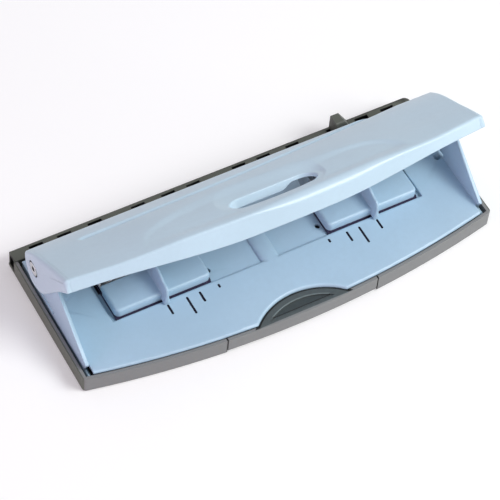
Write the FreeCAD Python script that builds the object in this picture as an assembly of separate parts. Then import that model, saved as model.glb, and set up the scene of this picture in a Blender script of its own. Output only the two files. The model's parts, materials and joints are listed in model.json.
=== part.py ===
import FreeCAD, Part
import math
import os

from FreeCAD import Placement, Rotation, Vector

# Six-hole punch for loose-leaf organiser pages. Millimetres, +Z up, +X along the length,
# -Y towards the user. The origin is under the middle of the base, where the feet stand.

# Base outline
base_length = 209.6
base_depth = 87.2
front_bow = 11.2
rim_height = 9.6
side_wall = 1.8
front_wall = 1.6
corner_radius = 2.0

# Heights, from the feet upwards
foot_height = 1.4
foot_stand = 0.8
tray_floor = 1.4
chip_room = 4.9
recess_floor = 1.6
recess_depth = 2.0
table_plate = 1.8
table_edge_round = 1.2
pan_wall = 1.6
skirt_wall = 1.6
skirt_clear = 0.2
side_gap = 1.2
front_gap = 0.5

# Rear rail and the sliding paper stop
rail_end_gap = 0.3
rail_depth = 6.0
rail_top = 10.2
rail_wall = 1.2
rail_corner = 2.9
rail_groove = 1.7
rail_slot_length = 7.0
rail_slot_width = 3.0
rail_middle_slots = [12.0, 25.0, 40.5]
rail_end_slots = [42.0, 26.5, 12.5]
rail_boss_inset = 34.5
rail_boss_length = 5.0
hook_groove_depth = 0.6
hook_groove_low = 7.5
hook_groove_high = 8.7
stop_face_x = 61.2
stop_length = 9.5
stop_top_length = 4.3
stop_height = 19.5
stop_foot = 0.9
stop_tail = 0.4
stop_foot_gap = 0.4
stop_gap = 0.1
hook_gap = 0.2

# Handle, in its own frame: the pivot at the origin, along towards the front, up from its plane.
# Places on the skirt's edge are shares of the half length.
rest_tilt = 34.2
press_angle = 30.0
pivot_from_rear = 25.8
pivot_z = 29.6
handle_rear = 5.88
handle_middle = 50.3
handle_bow = 9.2
rear_edge_up = 7.0
crown_place = 23.06
crown_up = 9.7
handle_wall = 2.2
handle_below = 15.0
skirt_thick = 2.0
end_plate = 2.5
end_gap = 0.3
skirt_edge = [(0.0, -2.9), (0.43, -2.0), (0.715, 0.2), (1.05, 0.7)]
rear_lip_up = 3.6
end_lobe = [(8.3, 2.9), (9.06, -2.3), (7.9, -7.9), (3.4, -10.9), (-1.0, -11.7), (-5.2, -11.1)]
end_knee = (-29.5, -2.0)
end_front_up = 1.1
top_round = 1.2
rear_round = 0.6
groove_radius = 0.7
groove_lift = 0.3
groove_start_inset = 21.8
groove_start_along = 5.9
groove_end_inset = 19.8
rib_end_inset = 16.8
rib_middle = 46.0
rib_thick = 2.0
rib_reach = 2.0
rib_up = 0.3

# Window slot in the handle and the scoop that leads into it
window_left = -20.5
window_right = 22.0
window_rear = 30.6
window_front = 39.5
scoop_left = -21.0
scoop_right = 27.0
scoop_rear = 18.0
scoop_depth = 1.5
scoop_corner = 7.0
scoop_front_corner = 4.4
scoop_pad = 5.9
scoop_rim = 2.0

# Cheeks that carry the handle
cheek_thick = 1.6
cheek_front = 15.5
cheek_front_height = 13.2
cheek_slope = 36.2
cheek_rear_spread = 1.0
ear_radius = 4.6
slot_height = 2.2
slot_past_stop = 0.3
notch_width = 2.4
notch_rear = 1.5
notch_length = 5.4

# Pivots
shaft_clear = 0.05
screw_radius = 2.0
screw_head_radius = 3.4
screw_head = 1.2
head_pocket_clear = 0.3
bush_radius = 2.9
bush_flange_radius = 4.2
flange_gap = 0.025
insert_radius = 2.9
pivot_boss_radius = 4.2
pivot_boss_length = 7.7
socket_radius = 1.5
socket_depth = 0.9

# Pressure bar
bar_along = 8.9
bar_width = 5.0
bar_end_gap = 0.7
bar_top_gap = 0.2

# Punch pins and their blocks
hole_diameter = 5.5
hole_pitch = 19.0
edge_to_hole = 5.5
inner_gaps = [70.0, 51.0, 38.0, 19.0]
slide_gap = 0.05
die_plate_thick = 1.8
paper_gap = 1.75
guide_plate_thick = 1.5
pin_lift = 0.3
pin_top_gap = 0.1
pin_dome = 1.0
pin_notch = 1.2
top_plate_margin = 1.2
top_plate_thick = 1.4
top_plate_under_pin = 0.85
clip_thick = 0.7
clip_radius = 3.4
clip_groove = 0.5
clip_gap = 0.1
clip_mouth = 2.8
spring_wire = 0.6
spring_clear = 0.15
spring_turns = 7.0
spring_flats = 8
block_past_pin = 4.7
block_nose = 19.4
block_heel = 5.0
block_play = 2.0
nose_gap = 1.0
recess_rear_gap = 0.6
tongue = 1.4
tongue_thick = 1.0
tongue_clear = 0.1
undercut = 0.8
cover_top = 15.2
cover_wall = 1.2
cover_roof = 1.3
cover_corner = 2.0
cover_bevel = 0.9
leg_thick = 1.0
leg_setback = 2.0
tenon_front = 1.0
tenon_rear = 3.0
guide_bar_radius = 2.0
guide_bar_behind = 10.0
guide_bar_z = 19.0
guide_bar_clear = 0.08
guide_ear_radius = 3.0
guide_boss_radius = 3.4
guide_boss_length = 3.0
blind_end = 0.4
rivet_radius = 1.5
rivet_spacing = 14.0
rivet_back = 6.4
chute_half = 3.5
detent_radius = 1.3
detent_back = 6.1
detent_drop = 0.5
dimple_radius = 1.1
leaf_length = 14.0
leaf_width = 4.0
leaf_thick = 0.3
leaf_lift = 0.25
leaf_room = 0.3

# Pointer fin on each block: distance back from its foremost line, height above the table
fin_reach = 3.8
fin_foot = (0.2, 0.4)
fin_edge = [(0.0, 2.9), (1.2, 10.1), (4.8, 11.7), (9.2, 13.7), (13.2, 14.2), (17.2, 11.3), (18.7, 4.5)]
fin_foot_width = 3.4
fin_top_width = 1.7
fin_narrow_up = 10.1

# Chip door
door_half = 38.2
door_gap = 0.4
door_thick = 1.6
door_bottom = 1.4
door_edge_round = 0.8
door_axis_back = 3.2
door_axis_z = 4.5
door_lip = 0.8
door_lip_reach = 2.0
door_end = 1.5
trunnion_radius = 1.0
trunnion_length = 2.5
trunnion_clear = 0.08
socket_wall = 1.5
pad_half = 22.6
pad_depth = 9.0
pad_thick = 1.6
pad_gap = 0.5
dish_inset = 3.4
dish_depth = 0.9
dish_front = 0.6

# Screws and feet
table_screw_inset = 3.5
table_screw_ahead = 12.4
table_head_radius = 1.6
table_post = 2.0
base_screw_front = (52.8, 18.1)
base_screw_rear = (16.8, 13.6)
foot_front = (10.8, 21.6)
foot_rear = (8.8, 7.6)
foot_radius = 4.0
boss_radius = 2.9
boss_pad = 1.0
boss_gap = 0.05
thread_radius = 1.1
thread_end = 1.0
head_radius = 2.2
head_height = 1.0
head_clear = 0.2
thin_head = 0.6

# Places that follow from the sizes
half_length = base_length / 2
rear_y = base_depth / 2
front_y = -rear_y
bow_radius = (half_length ** 2 + front_bow ** 2) / (2 * front_bow)
table_inset = front_wall + front_gap
floor_top = foot_stand + tray_floor
pan_bottom = floor_top + chip_room
recess_z = pan_bottom + recess_floor
table_top = recess_z + recess_depth
plate_bottom = table_top - table_plate
housing_half = half_length - side_wall - side_gap
cheek_inner = housing_half - cheek_thick
bar_half_length = cheek_inner - bar_end_gap
rail_half = half_length - rail_end_gap
rail_front_y = rear_y - rail_depth
rail_middle_y = rear_y - rail_depth / 2
rail_slot_places = rail_middle_slots + [rail_half - inset for inset in rail_end_slots]
rail_boss_places = [rail_boss_inset - rail_half, 0.0, rail_half - rail_boss_inset]
table_rear_y = rail_front_y - rail_groove
pivot_y = rear_y - pivot_from_rear
table_screw_x = housing_half - table_screw_inset
table_screw_y = pivot_y - table_screw_ahead
plate_inner = half_length - end_plate
crown_rise = crown_up - rear_edge_up
crown_radius = ((crown_place + handle_rear) ** 2 + crown_rise ** 2) / (2 * crown_rise)
handle_bow_radius = (half_length ** 2 + handle_bow ** 2) / (2 * handle_bow)
handle_end = handle_middle - handle_bow
groove_start = (groove_start_inset - half_length, groove_start_along)
groove_end_x = half_length - groove_end_inset
rib_end = half_length - rib_end_inset
rib_places = [-rib_end, -rib_middle, 0.0, rib_middle, rib_end]
bar_radius = bar_width / 2
raised = math.radians(rest_tilt)
pressed = math.radians(rest_tilt - press_angle)
half_way = math.radians(rest_tilt - press_angle / 2)
bar_rest_z = pivot_z + bar_along * math.sin(raised)
pin_stroke = bar_along * (math.sin(raised) - math.sin(pressed))
pin_y = pivot_y - bar_along * math.cos(half_way)
pin_radius = hole_diameter / 2
stop_y = pin_y - edge_to_hole
die_bottom = recess_z + slide_gap
die_top = die_bottom + die_plate_thick
throat_top = die_top + paper_gap
guide_top = throat_top + guide_plate_thick
pin_tip = throat_top + pin_lift
pin_top = bar_rest_z - bar_radius - pin_top_gap
top_plate_z = pin_top - pin_stroke - top_plate_under_pin - top_plate_thick
clip_z = top_plate_z - clip_gap - clip_thick
groove_floor_radius = pin_radius - clip_groove
spring_radius = pin_radius + spring_clear + spring_wire / 2
block_half = hole_pitch + block_past_pin
block_front_y = pin_y - block_nose
die_rear_y = pin_y + block_heel
cover_rear_y = pin_y - spring_radius - spring_wire / 2 - end_gap
guide_bar_y = pin_y + guide_bar_behind
detent_y = block_front_y + detent_back
rivet_y = block_front_y + rivet_back
recess_front_y = block_front_y - nose_gap
recess_rear_y = die_rear_y + recess_rear_gap
marks = [gap / 2 + hole_pitch for gap in inner_gaps]
block_x = marks[0]
recess_inner_x = marks[-1] - block_half - end_gap
recess_outer_x = block_x + block_half + block_play + end_gap
door_axis_y = front_y + door_axis_back
door_barrel = door_axis_z - door_bottom
pad_radius = (pad_half ** 2 + pad_depth ** 2) / (2 * pad_depth)
pad_chord_y = front_y + table_inset
pad_centre_y = pad_chord_y + pad_depth - pad_radius


def four_places(front, rear):
    """A front and a rear pair of places, each from its distance to the end and to the front or rear edge."""
    left = [(front[0] - half_length, front_y + front[1]), (rear[0] - half_length, rear_y - rear[1])]
    return left + [(-x, y) for x, y in left]


def box(x0, x1, y0, y1, z0, z1):
    return Part.makeBox(x1 - x0, y1 - y0, z1 - z0, Vector(x0, y0, z0))


def rod_x(radius, x0, x1, y, z):
    return Part.makeCylinder(radius, x1 - x0, Vector(x0, y, z), Vector(1, 0, 0))


def rod_z(radius, z0, z1, x, y):
    return Part.makeCylinder(radius, z1 - z0, Vector(x, y, z0))


def prism_x(points, x0, x1):
    """Carry a closed outline of (y, z) points along X."""
    loop = [Vector(x0, y, z) for y, z in points]
    wire = Part.makePolygon(loop + loop[:1])
    return Part.Face(wire).extrude(Vector(x1 - x0, 0, 0))


def prism_y(points, y0, y1):
    """Carry a closed outline of (x, z) points along Y."""
    loop = [Vector(x, y0, z) for x, z in points]
    wire = Part.makePolygon(loop + loop[:1])
    return Part.Face(wire).extrude(Vector(0, y1 - y0, 0))


def fuse(shapes):
    solid = shapes[0]
    for shape in shapes[1:]:
        solid = solid.fuse(shape)
    return solid.removeSplitter()


def cut(solid, tools):
    for tool in tools:
        solid = solid.cut(tool)
    return solid


def round_edges(solid, radius, wanted):
    """Fillet the edges whose ends and middle all pass the test."""
    edges = []
    for edge in solid.Edges:
        middle = edge.valueAt((edge.FirstParameter + edge.LastParameter) / 2)
        points = [vertex.Point for vertex in edge.Vertexes] + [middle]
        if all(wanted(point) for point in points):
            edges.append(edge)
    return solid.makeFillet(radius, edges)


def near(a, b):
    return abs(a - b) < 0.01


def outwards(low, high, side):
    """A span in X that is given outwards, for the left (-1) or the right (+1)."""
    return (low, high) if side > 0 else (-high, -low)


def bow_cylinder(inset):
    """The bowed front of the base, set back by the inset."""
    return rod_z(bow_radius - inset, -rim_height, 2 * pivot_z, 0, front_y + bow_radius)


def bow_y(x):
    """Y of the bowed front at a place along the length."""
    return front_y + bow_radius - math.sqrt(bow_radius ** 2 - x ** 2)


def bottom_tray():
    body = box(-half_length, half_length, front_y, rear_y, foot_stand, rim_height).common(bow_cylinder(0))
    corner_y = front_y + front_bow
    body = round_edges(body, corner_radius, lambda p: near(p.y, corner_y) and near(abs(p.x), half_length))
    inner_half = half_length - side_wall
    inside = box(-inner_half, inner_half, front_y, rear_y + 1, floor_top, rim_height + 1)
    body = body.cut(inside.common(bow_cylinder(front_wall)))
    beyond = half_length + 1
    body = body.cut(box(-beyond, beyond, rail_front_y, rear_y + 1, floor_top, rim_height + 1))
    sill = math.sqrt((door_barrel + end_gap) ** 2 - (door_axis_z - floor_top) ** 2)
    opening = door_half + door_gap
    body = body.cut(box(-opening, opening, front_y - 1, door_axis_y + sill, 0, rim_height + 1))
    return cut(fuse([body] + door_sockets() + tray_bosses()), tray_holes())


def door_sockets():
    """Small blocks behind the front wall that hold the trunnions of the chip door."""
    blocks = []
    for side in (-1, 1):
        inner = door_half + door_gap
        x0, x1 = outwards(inner, inner + trunnion_length + socket_wall, side)
        reach = trunnion_radius + socket_wall
        block = box(x0, x1, front_y, door_axis_y + reach, foot_stand, door_axis_z + reach)
        blocks.append(block.common(bow_cylinder(0)))
    return blocks


def tray_bosses():
    pad_top = floor_top + head_height
    pads = [rod_z(boss_radius + boss_pad, floor_top, pad_top, x, y)
            for x, y in four_places(base_screw_front, base_screw_rear)]
    inside = cheek_inner - skirt_clear
    room = box(-inside, inside, front_y, rear_y, floor_top, rim_height)
    posts = []
    for x in (-table_screw_x, table_screw_x):
        posts.append(rod_z(boss_radius, floor_top, floor_top + table_post, x, table_screw_y).common(room))
    return pads + posts


def tray_holes():
    holes = []
    thread = thread_radius + shaft_clear
    post_top = floor_top + table_post
    thin_pocket = foot_stand + thin_head + shaft_clear
    for side in (-1, 1):
        x0, x1 = outwards(door_half, door_half + door_gap + trunnion_length + end_gap, side)
        holes.append(rod_x(trunnion_radius + trunnion_clear, x0, x1, door_axis_y, door_axis_z))
        x = side * table_screw_x
        holes.append(rod_z(thread, foot_stand + tray_floor / 2, post_top + 1, x, table_screw_y))
    for x, y in four_places(base_screw_front, base_screw_rear):
        holes.append(rod_z(head_radius + head_clear, 0, foot_stand + head_height + head_clear, x, y))
        holes.append(rod_z(thread, 0, floor_top + head_height + 1, x, y))
    for x in rail_boss_places:
        holes.append(rod_z(head_radius + head_clear, 0, thin_pocket, x, rail_middle_y))
        holes.append(rod_z(thread, 0, floor_top + 1, x, rail_middle_y))
    for x, y in four_places(foot_front, foot_rear):
        holes.append(rod_z(foot_radius + shaft_clear, 0, foot_height, x, y))
    return holes


def rubber_feet():
    places = four_places(foot_front, foot_rear)
    return Part.makeCompound([rod_z(foot_radius, 0, foot_height, x, y) for x, y in places])


def base_screws():
    screws = []
    low = foot_stand + head_clear
    for x, y in four_places(base_screw_front, base_screw_rear):
        head = rod_z(head_radius, low, low + head_height, x, y)
        shank = rod_z(thread_radius, low, plate_bottom - thread_end, x, y)
        screws.append(fuse([head, shank]))
    return Part.makeCompound(screws)


def table_head_z():
    """Seat of the two screw heads that are reached through the table."""
    return floor_top + table_post + boss_gap + socket_wall


def table_screws():
    screws = []
    for x in (-table_screw_x, table_screw_x):
        low = table_head_z()
        head = rod_z(table_head_radius, low, low + head_height, x, table_screw_y)
        shank = rod_z(thread_radius, floor_top - tray_floor / 4, low, x, table_screw_y)
        screws.append(fuse([head, shank]))
    return Part.makeCompound(screws)


def rail_screws():
    screws = []
    low = foot_stand + shaft_clear
    for x in rail_boss_places:
        head = rod_z(head_radius, low, low + thin_head, x, rail_middle_y)
        shank = rod_z(thread_radius, low, rail_top - rail_wall - thread_end, x, rail_middle_y)
        screws.append(fuse([head, shank]))
    return Part.makeCompound(screws)


def paper_rail():
    """A channel that is open below and at its left end, with slots in its top."""
    outer = box(-rail_half, rail_half, rail_front_y, rear_y, floor_top, rail_top)
    outer = round_edges(outer, rail_corner,
                        lambda p: near(p.x, rail_half) and near(abs(p.y - rail_middle_y), rail_depth / 2))
    roof = rail_top - rail_wall
    hollow_y0 = rail_front_y + rail_wall
    hollow_y1 = rear_y - rail_wall
    left_end = -rail_half - 1
    right_end = rail_half - rail_corner
    rail = outer.cut(box(left_end, right_end, hollow_y0, hollow_y1, floor_top - 1, roof))
    grip = rail_wall / 2
    bosses = [box(x - rail_boss_length / 2, x + rail_boss_length / 2, hollow_y0 - grip, hollow_y1 + grip,
                  floor_top, roof + grip) for x in rail_boss_places]
    holes = [rod_z(thread_radius + shaft_clear, floor_top - 1, roof - thread_end / 2, x, rail_middle_y)
             for x in rail_boss_places]
    for place in rail_slot_places:
        for x in (-place, place):
            holes.append(box(x - rail_slot_length / 2, x + rail_slot_length / 2, hollow_y0,
                             hollow_y0 + rail_slot_width, roof - 1, rail_top + 1))
    holes.append(box(left_end, right_end, rail_front_y - 1, rail_front_y + hook_groove_depth,
                     hook_groove_low, hook_groove_high))
    return cut(fuse([rail] + bosses), holes)


def paper_stop():
    """A saddle that hooks into the rail's groove and rises as a flat-faced stop."""
    x0 = stop_face_x
    x1 = stop_face_x + stop_length
    foot_front = table_rear_y + stop_foot_gap
    foot_back = foot_front + stop_foot
    deck = rail_top + stop_gap
    low = hook_groove_low + hook_gap
    high = hook_groove_high - hook_gap
    body = box(x0, x1, foot_front, rear_y - hook_gap, deck, stop_height)
    body = round_edges(body, stop_top_length, lambda p: near(p.z, stop_height) and near(p.y, foot_front))
    tail = deck + stop_tail
    slope = [(x0 + stop_top_length, stop_height + 1), (x0 + stop_top_length, stop_height), (x1, tail),
             (x1 + 1, tail), (x1 + 1, stop_height + 1)]
    body = body.cut(prism_y(slope, foot_front - 1, rear_y + 1))
    foot = box(x0, x1, foot_front, foot_back, low, deck + stop_foot)
    hook = box(x0, x1, foot_front, rail_front_y + hook_groove_depth - hook_gap, low, high)
    return fuse([body, foot, hook])


def cheek(side):
    """A side wall that rises from the table to the ear round the pivot, slotted for wide paper."""
    x0, x1 = outwards(cheek_inner, housing_half, side)
    front = front_y + cheek_front
    flat_z = pivot_z + ear_radius
    slope_end = front + (flat_z - cheek_front_height) / math.tan(math.radians(cheek_slope))
    ear_rear = pivot_y + ear_radius
    slot_top = table_top + slot_height
    slot_front = stop_y - slot_past_stop
    outline = [(front, plate_bottom), (front, cheek_front_height), (slope_end, flat_z), (pivot_y, flat_z),
               (pivot_y, pivot_z), (ear_rear, pivot_z), (ear_rear + cheek_rear_spread, slot_top),
               (slot_front, slot_top), (slot_front, plate_bottom)]
    return [prism_x(outline, x0, x1), rod_x(ear_radius, x0, x1, pivot_y, pivot_z)]


def side_bosses(side):
    """Inside each cheek: the pivot boss and the guide bar's boss."""
    x0, x1 = outwards(cheek_inner - pivot_boss_length, housing_half, side)
    pivot = rod_x(pivot_boss_radius, x0, x1, pivot_y, pivot_z)
    x0, x1 = outwards(cheek_inner - guide_boss_length, housing_half, side)
    return [pivot, rod_x(guide_boss_radius, x0, x1, guide_bar_y, guide_bar_z)]


def recess_pan(side):
    x0, x1 = outwards(recess_inner_x - pan_wall, recess_outer_x + pan_wall, side)
    front = recess_front_y - undercut - pan_wall
    return box(x0, x1, front, recess_rear_y + pan_wall, pan_bottom, table_top)


def top_housing():
    plate = box(-housing_half, housing_half, front_y, table_rear_y, plate_bottom, table_top)
    plate = plate.common(bow_cylinder(table_inset))
    corner_y = front_y + front_bow + table_inset + 1
    plate = round_edges(plate, table_edge_round, lambda p: near(p.z, table_top) and p.y < corner_y)
    skirt_low = floor_top + skirt_clear
    grip = table_plate / 2
    skirt = box(-housing_half, housing_half, front_y, table_rear_y, skirt_low, plate_bottom + grip)
    skirt = skirt.common(bow_cylinder(table_inset))
    skirt = skirt.cut(box(-cheek_inner, cheek_inner, front_y, table_rear_y - skirt_wall, 0, table_top))
    parts = [plate, skirt]
    for side in (-1, 1):
        parts += cheek(side) + side_bosses(side) + [recess_pan(side)]
        low = floor_top + table_post + boss_gap
        parts.append(rod_z(boss_radius, low, plate_bottom + grip, side * table_screw_x, table_screw_y))
    for x, y in four_places(base_screw_front, base_screw_rear):
        parts.append(rod_z(boss_radius, floor_top + head_height + boss_gap, plate_bottom + grip, x, y))
    return cut(fuse(parts), recess_cuts() + bore_cuts() + screw_cuts() + edge_cuts())


def recess_cuts():
    """The two long recesses, with the groove for the tongue, the chute and the mark holes."""
    cuts = []
    for side in (-1, 1):
        x0, x1 = outwards(recess_inner_x, recess_outer_x, side)
        cuts.append(box(x0, x1, recess_front_y, recess_rear_y, recess_z, table_top + 1))
        groove_top = die_bottom + tongue_thick + tongue_clear
        cuts.append(box(x0, x1, recess_front_y - undercut, recess_front_y + 1, recess_z, groove_top))
        chute_inner = marks[-1] - hole_pitch - chute_half
        chute_outer = block_x + hole_pitch + block_play + chute_half
        x0, x1 = outwards(chute_inner, chute_outer, side)
        cuts.append(box(x0, x1, pin_y - chute_half, pin_y + chute_half, pan_bottom - 1, recess_z + 1))
        for mark in marks:
            cuts.append(rod_z(detent_radius, pan_bottom - 1, recess_z + 1, side * mark, detent_y))
    return cuts


def bore_cuts():
    """Bores for the pivots and the guide bar, which goes in from the right."""
    cuts = []
    for side in (-1, 1):
        inner = cheek_inner - pivot_boss_length
        x0, x1 = outwards(inner - 1, housing_half + 1, side)
        cuts.append(rod_x(screw_radius + shaft_clear, x0, x1, pivot_y, pivot_z))
        x0, x1 = outwards(inner - 1, cheek_inner, side)
        cuts.append(rod_x(insert_radius + shaft_clear, x0, x1, pivot_y, pivot_z))
        end = housing_half + 1 if side > 0 else housing_half - blind_end
        x0, x1 = outwards(cheek_inner - guide_boss_length - 1, end, side)
        cuts.append(rod_x(guide_bar_radius + shaft_clear, x0, x1, guide_bar_y, guide_bar_z))
    return cuts


def screw_cuts():
    cuts = []
    for x in (-table_screw_x, table_screw_x):
        cuts.append(rod_z(thread_radius + head_clear, floor_top, table_top + 1, x, table_screw_y))
        cuts.append(rod_z(table_head_radius + head_clear, table_head_z(), table_top + 1, x, table_screw_y))
    for x, y in four_places(base_screw_front, base_screw_rear):
        cuts.append(rod_z(thread_radius + shaft_clear, floor_top, plate_bottom - thread_end / 2, x, y))
    return cuts


def edge_cuts():
    """The notches at the front corners and the bay for the finger pad."""
    cuts = [rod_z(pad_radius + pad_gap, plate_bottom - 1, table_top + 1, 0, pad_centre_y)]
    rear = front_y + cheek_front + notch_rear
    for side in (-1, 1):
        x0, x1 = outwards(housing_half - notch_width, housing_half + 1, side)
        cuts.append(box(x0, x1, rear - notch_length, rear, plate_bottom - 1, table_top + 1))
    return cuts


def chip_door():
    """A bowed front plate with a finger pad, closed below by a lip round its own axis."""
    plate = box(-door_half, door_half, front_y, front_y + front_bow, door_bottom, rim_height)
    plate = plate.common(bow_cylinder(0)).cut(bow_cylinder(door_thick))
    plate = round_edges(plate, door_edge_round, lambda p: near(p.z, door_bottom) and p.y < bow_y(p.x) + 0.1)
    pad = rod_z(pad_radius, rim_height - pad_thick, rim_height, 0, pad_centre_y)
    pad = pad.common(bow_cylinder(door_thick / 2))
    lip = rod_x(door_barrel, -door_half, door_half, door_axis_y, door_axis_z)
    lip = lip.cut(rod_x(door_barrel - door_lip, -door_half - 1, door_half + 1, door_axis_y, door_axis_z))
    lip = lip.common(box(-door_half, door_half, front_y, door_axis_y + door_lip_reach, door_bottom,
                         door_axis_z - trunnion_radius))
    parts = [plate, pad, lip.common(bow_cylinder(door_thick / 2))]
    for side in (-1, 1):
        x0, x1 = outwards(door_half - door_end, door_half, side)
        disc = rod_x(door_barrel, x0, x1, door_axis_y, door_axis_z)
        parts.append(disc.common(bow_cylinder(door_thick / 2)))
        x0, x1 = outwards(door_half - door_end, door_half + door_gap + trunnion_length, side)
        parts.append(rod_x(trunnion_radius, x0, x1, door_axis_y, door_axis_z))
    dish = rod_z(pad_radius - dish_inset, rim_height - dish_depth, rim_height + 1, 0, pad_centre_y)
    room = box(-pad_half, pad_half, pad_chord_y + dish_front, 0, 0, rim_height + 2)
    return fuse(parts).cut(dish.common(room))


def guide_bar():
    left = -(housing_half - blind_end - shaft_clear)
    return rod_x(guide_bar_radius, left, housing_half - shaft_clear, guide_bar_y, guide_bar_z)


def pin_places(side):
    return [side * block_x + step * hole_pitch for step in (-1, 0, 1)]


def block_box(side, inset, y0, y1, z0, z1):
    middle = side * block_x
    return box(middle - block_half + inset, middle + block_half - inset, y0, y1, z0, z1)


def pin_holes(side, z0, z1):
    return [rod_z(pin_radius + shaft_clear, z0, z1, x, pin_y) for x in pin_places(side)]


def rivet_places(side):
    return [side * block_x + step * rivet_spacing for step in (-1, 1)]


def rivet_holes(side):
    radius = rivet_radius + shaft_clear
    return [rod_z(radius, die_bottom - 1, guide_top + 1, x, rivet_y) for x in rivet_places(side)]


def die_plate(side):
    """The lower cutting plate, whose tongue runs under the front lip of the recess."""
    body = block_box(side, 0, block_front_y, die_rear_y, die_bottom, die_top)
    edge_top = die_bottom + tongue_thick
    edge = block_box(side, 0, block_front_y - tongue, block_front_y + 1, die_bottom, edge_top)
    middle = side * block_x
    half = leaf_length / 2 + leaf_room
    depth = leaf_width / 2 + leaf_room
    pocket = box(middle - half, middle + half, detent_y - depth, detent_y + depth, die_bottom - 1,
                 die_bottom + leaf_lift + leaf_thick + leaf_room)
    holes = pin_holes(side, die_bottom - 1, die_top + 1) + rivet_holes(side)
    return cut(fuse([body, edge]), holes + [pocket])


def throat_stop(side):
    """The spacer that sets the paper gap and stops the sheet's edge."""
    inset = cover_wall + tongue_clear
    body = block_box(side, inset, block_front_y + inset, stop_y, die_top, throat_top)
    return cut(body, rivet_holes(side))


def guide_plate(side):
    inset = cover_wall + tongue_clear
    step_y = cover_rear_y + tongue_clear
    front = block_box(side, inset, block_front_y + inset, step_y + 1, throat_top, guide_top)
    rear = block_box(side, 0, step_y, die_rear_y, throat_top, guide_top)
    notches = [tenon(side, end, shaft_clear) for end in (-1, 1)]
    holes = pin_holes(side, throat_top - 1, guide_top + 1) + rivet_holes(side)
    return cut(fuse([front, rear]), holes + notches)


def tenon(side, end, grow):
    """The staked foot of a bracket leg, at one end of a block."""
    x0, x1 = outwards(block_half - leg_thick - grow, block_half + grow, end)
    middle = side * block_x
    y0 = pin_y - tenon_front - grow
    y1 = pin_y + tenon_rear + grow
    return box(middle + x0, middle + x1, y0, y1, throat_top - grow, guide_top + grow)


def pin_bracket(side):
    """A bent bracket: two legs, a top plate that guides the pins, and ears for the guide bar."""
    top = top_plate_z + top_plate_thick
    reach = pin_radius + top_plate_margin
    parts = [block_box(side, 0, pin_y - reach, pin_y + reach, top_plate_z, top)]
    middle = side * block_x
    leg_front = pin_y - leg_setback
    outline = [(leg_front, guide_top), (leg_front, top), (pin_y + reach, top),
               (guide_bar_y, guide_bar_z + guide_ear_radius), (guide_bar_y, guide_bar_z - guide_ear_radius),
               (die_rear_y, guide_top)]
    for end in (-1, 1):
        x0, x1 = outwards(block_half - leg_thick, block_half, end)
        parts.append(prism_x(outline, middle + x0, middle + x1))
        parts.append(rod_x(guide_ear_radius, middle + x0, middle + x1, guide_bar_y, guide_bar_z))
        parts.append(tenon(side, end, 0))
    bore = rod_x(guide_bar_radius + guide_bar_clear, middle - block_half - 1, middle + block_half + 1,
                 guide_bar_y, guide_bar_z)
    return cut(fuse(parts), pin_holes(side, top_plate_z - 1, top + 1) + [bore])


def frame_rivets(side):
    rivets = [rod_z(rivet_radius, die_bottom, guide_top, x, rivet_y) for x in rivet_places(side)]
    return Part.makeCompound(rivets)


def detent_leaf(side):
    """A leaf spring in the die plate whose dimple drops into the mark holes."""
    middle = side * block_x
    low = die_bottom + leaf_lift
    half = leaf_length / 2
    leaf = box(middle - half, middle + half, detent_y - leaf_width / 2, detent_y + leaf_width / 2, low,
               low + leaf_thick)
    dimple = rod_z(dimple_radius, recess_z - detent_drop, low + leaf_thick / 2, middle, detent_y)
    return fuse([leaf, dimple])


def block_cover(side):
    middle = side * block_x
    low = die_top + slide_gap
    shell = block_box(side, 0, block_front_y, cover_rear_y, low, cover_top)
    shell = round_edges(shell, cover_corner,
                        lambda p: near(p.y, block_front_y) and near(abs(p.x - middle), block_half))
    shell = round_edges(shell, cover_bevel, lambda p: near(p.z, cover_top) and p.y < cover_rear_y - 1)
    shell = shell.cut(block_box(side, cover_wall, block_front_y + cover_wall, cover_rear_y + 1, low - 1,
                                cover_top - cover_roof))
    shell = shell.cut(block_box(side, -1, stop_y, cover_rear_y + 1, low - 1, throat_top + tongue_clear))
    return fuse([shell, pointer_fin(middle)])


def pointer_fin(middle):
    """A fin whose side view rises from the pointer tip and whose front view narrows upwards."""
    x0 = middle - fin_foot_width / 2
    front = block_front_y - fin_reach
    edge = [Vector(x0, front + back, table_top + up) for back, up in fin_edge]
    curve = Part.BSplineCurve()
    curve.interpolate(edge[1:])
    wall_y = block_front_y + cover_wall / 2
    root = cover_top - cover_roof / 2
    foot = Vector(x0, front + fin_foot[0], table_top + fin_foot[1])
    loop = [edge[-1], Vector(x0, edge[-1].y, root), Vector(x0, wall_y, root), Vector(x0, wall_y, foot.z),
            foot, edge[0], edge[1]]
    side_view = Part.Wire([curve.toShape()] + Part.makePolygon(loop).Edges)
    blade = Part.Face(side_view).extrude(Vector(fin_foot_width, 0, 0))
    narrow = table_top + fin_narrow_up
    high = table_top + 2 * fin_narrow_up
    half_foot = fin_foot_width / 2
    half_top = fin_top_width / 2
    front_view = [(middle - half_foot, foot.z), (middle - half_top, narrow), (middle - half_top, high),
                  (middle + half_top, high), (middle + half_top, narrow), (middle + half_foot, foot.z)]
    return blade.common(prism_y(front_view, front - 1, cover_rear_y))


def punch_pin(x):
    """A pin with a domed top, a clip groove and a V across its cutting end."""
    pin = rod_z(pin_radius, pin_tip, pin_top, x, pin_y)
    pin = round_edges(pin, pin_dome, lambda p: near(p.z, pin_top))
    wide = pin_radius + 1
    notch = prism_x([(pin_y - wide, pin_tip - 1), (pin_y - wide, pin_tip), (pin_y, pin_tip + pin_notch),
                     (pin_y + wide, pin_tip), (pin_y + wide, pin_tip - 1)], x - wide, x + wide)
    groove = rod_z(wide, clip_z - shaft_clear, clip_z + clip_thick + shaft_clear, x, pin_y)
    groove = groove.cut(rod_z(groove_floor_radius, clip_z - 1, clip_z + clip_thick + 1, x, pin_y))
    return cut(pin, [notch, groove])


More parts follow.
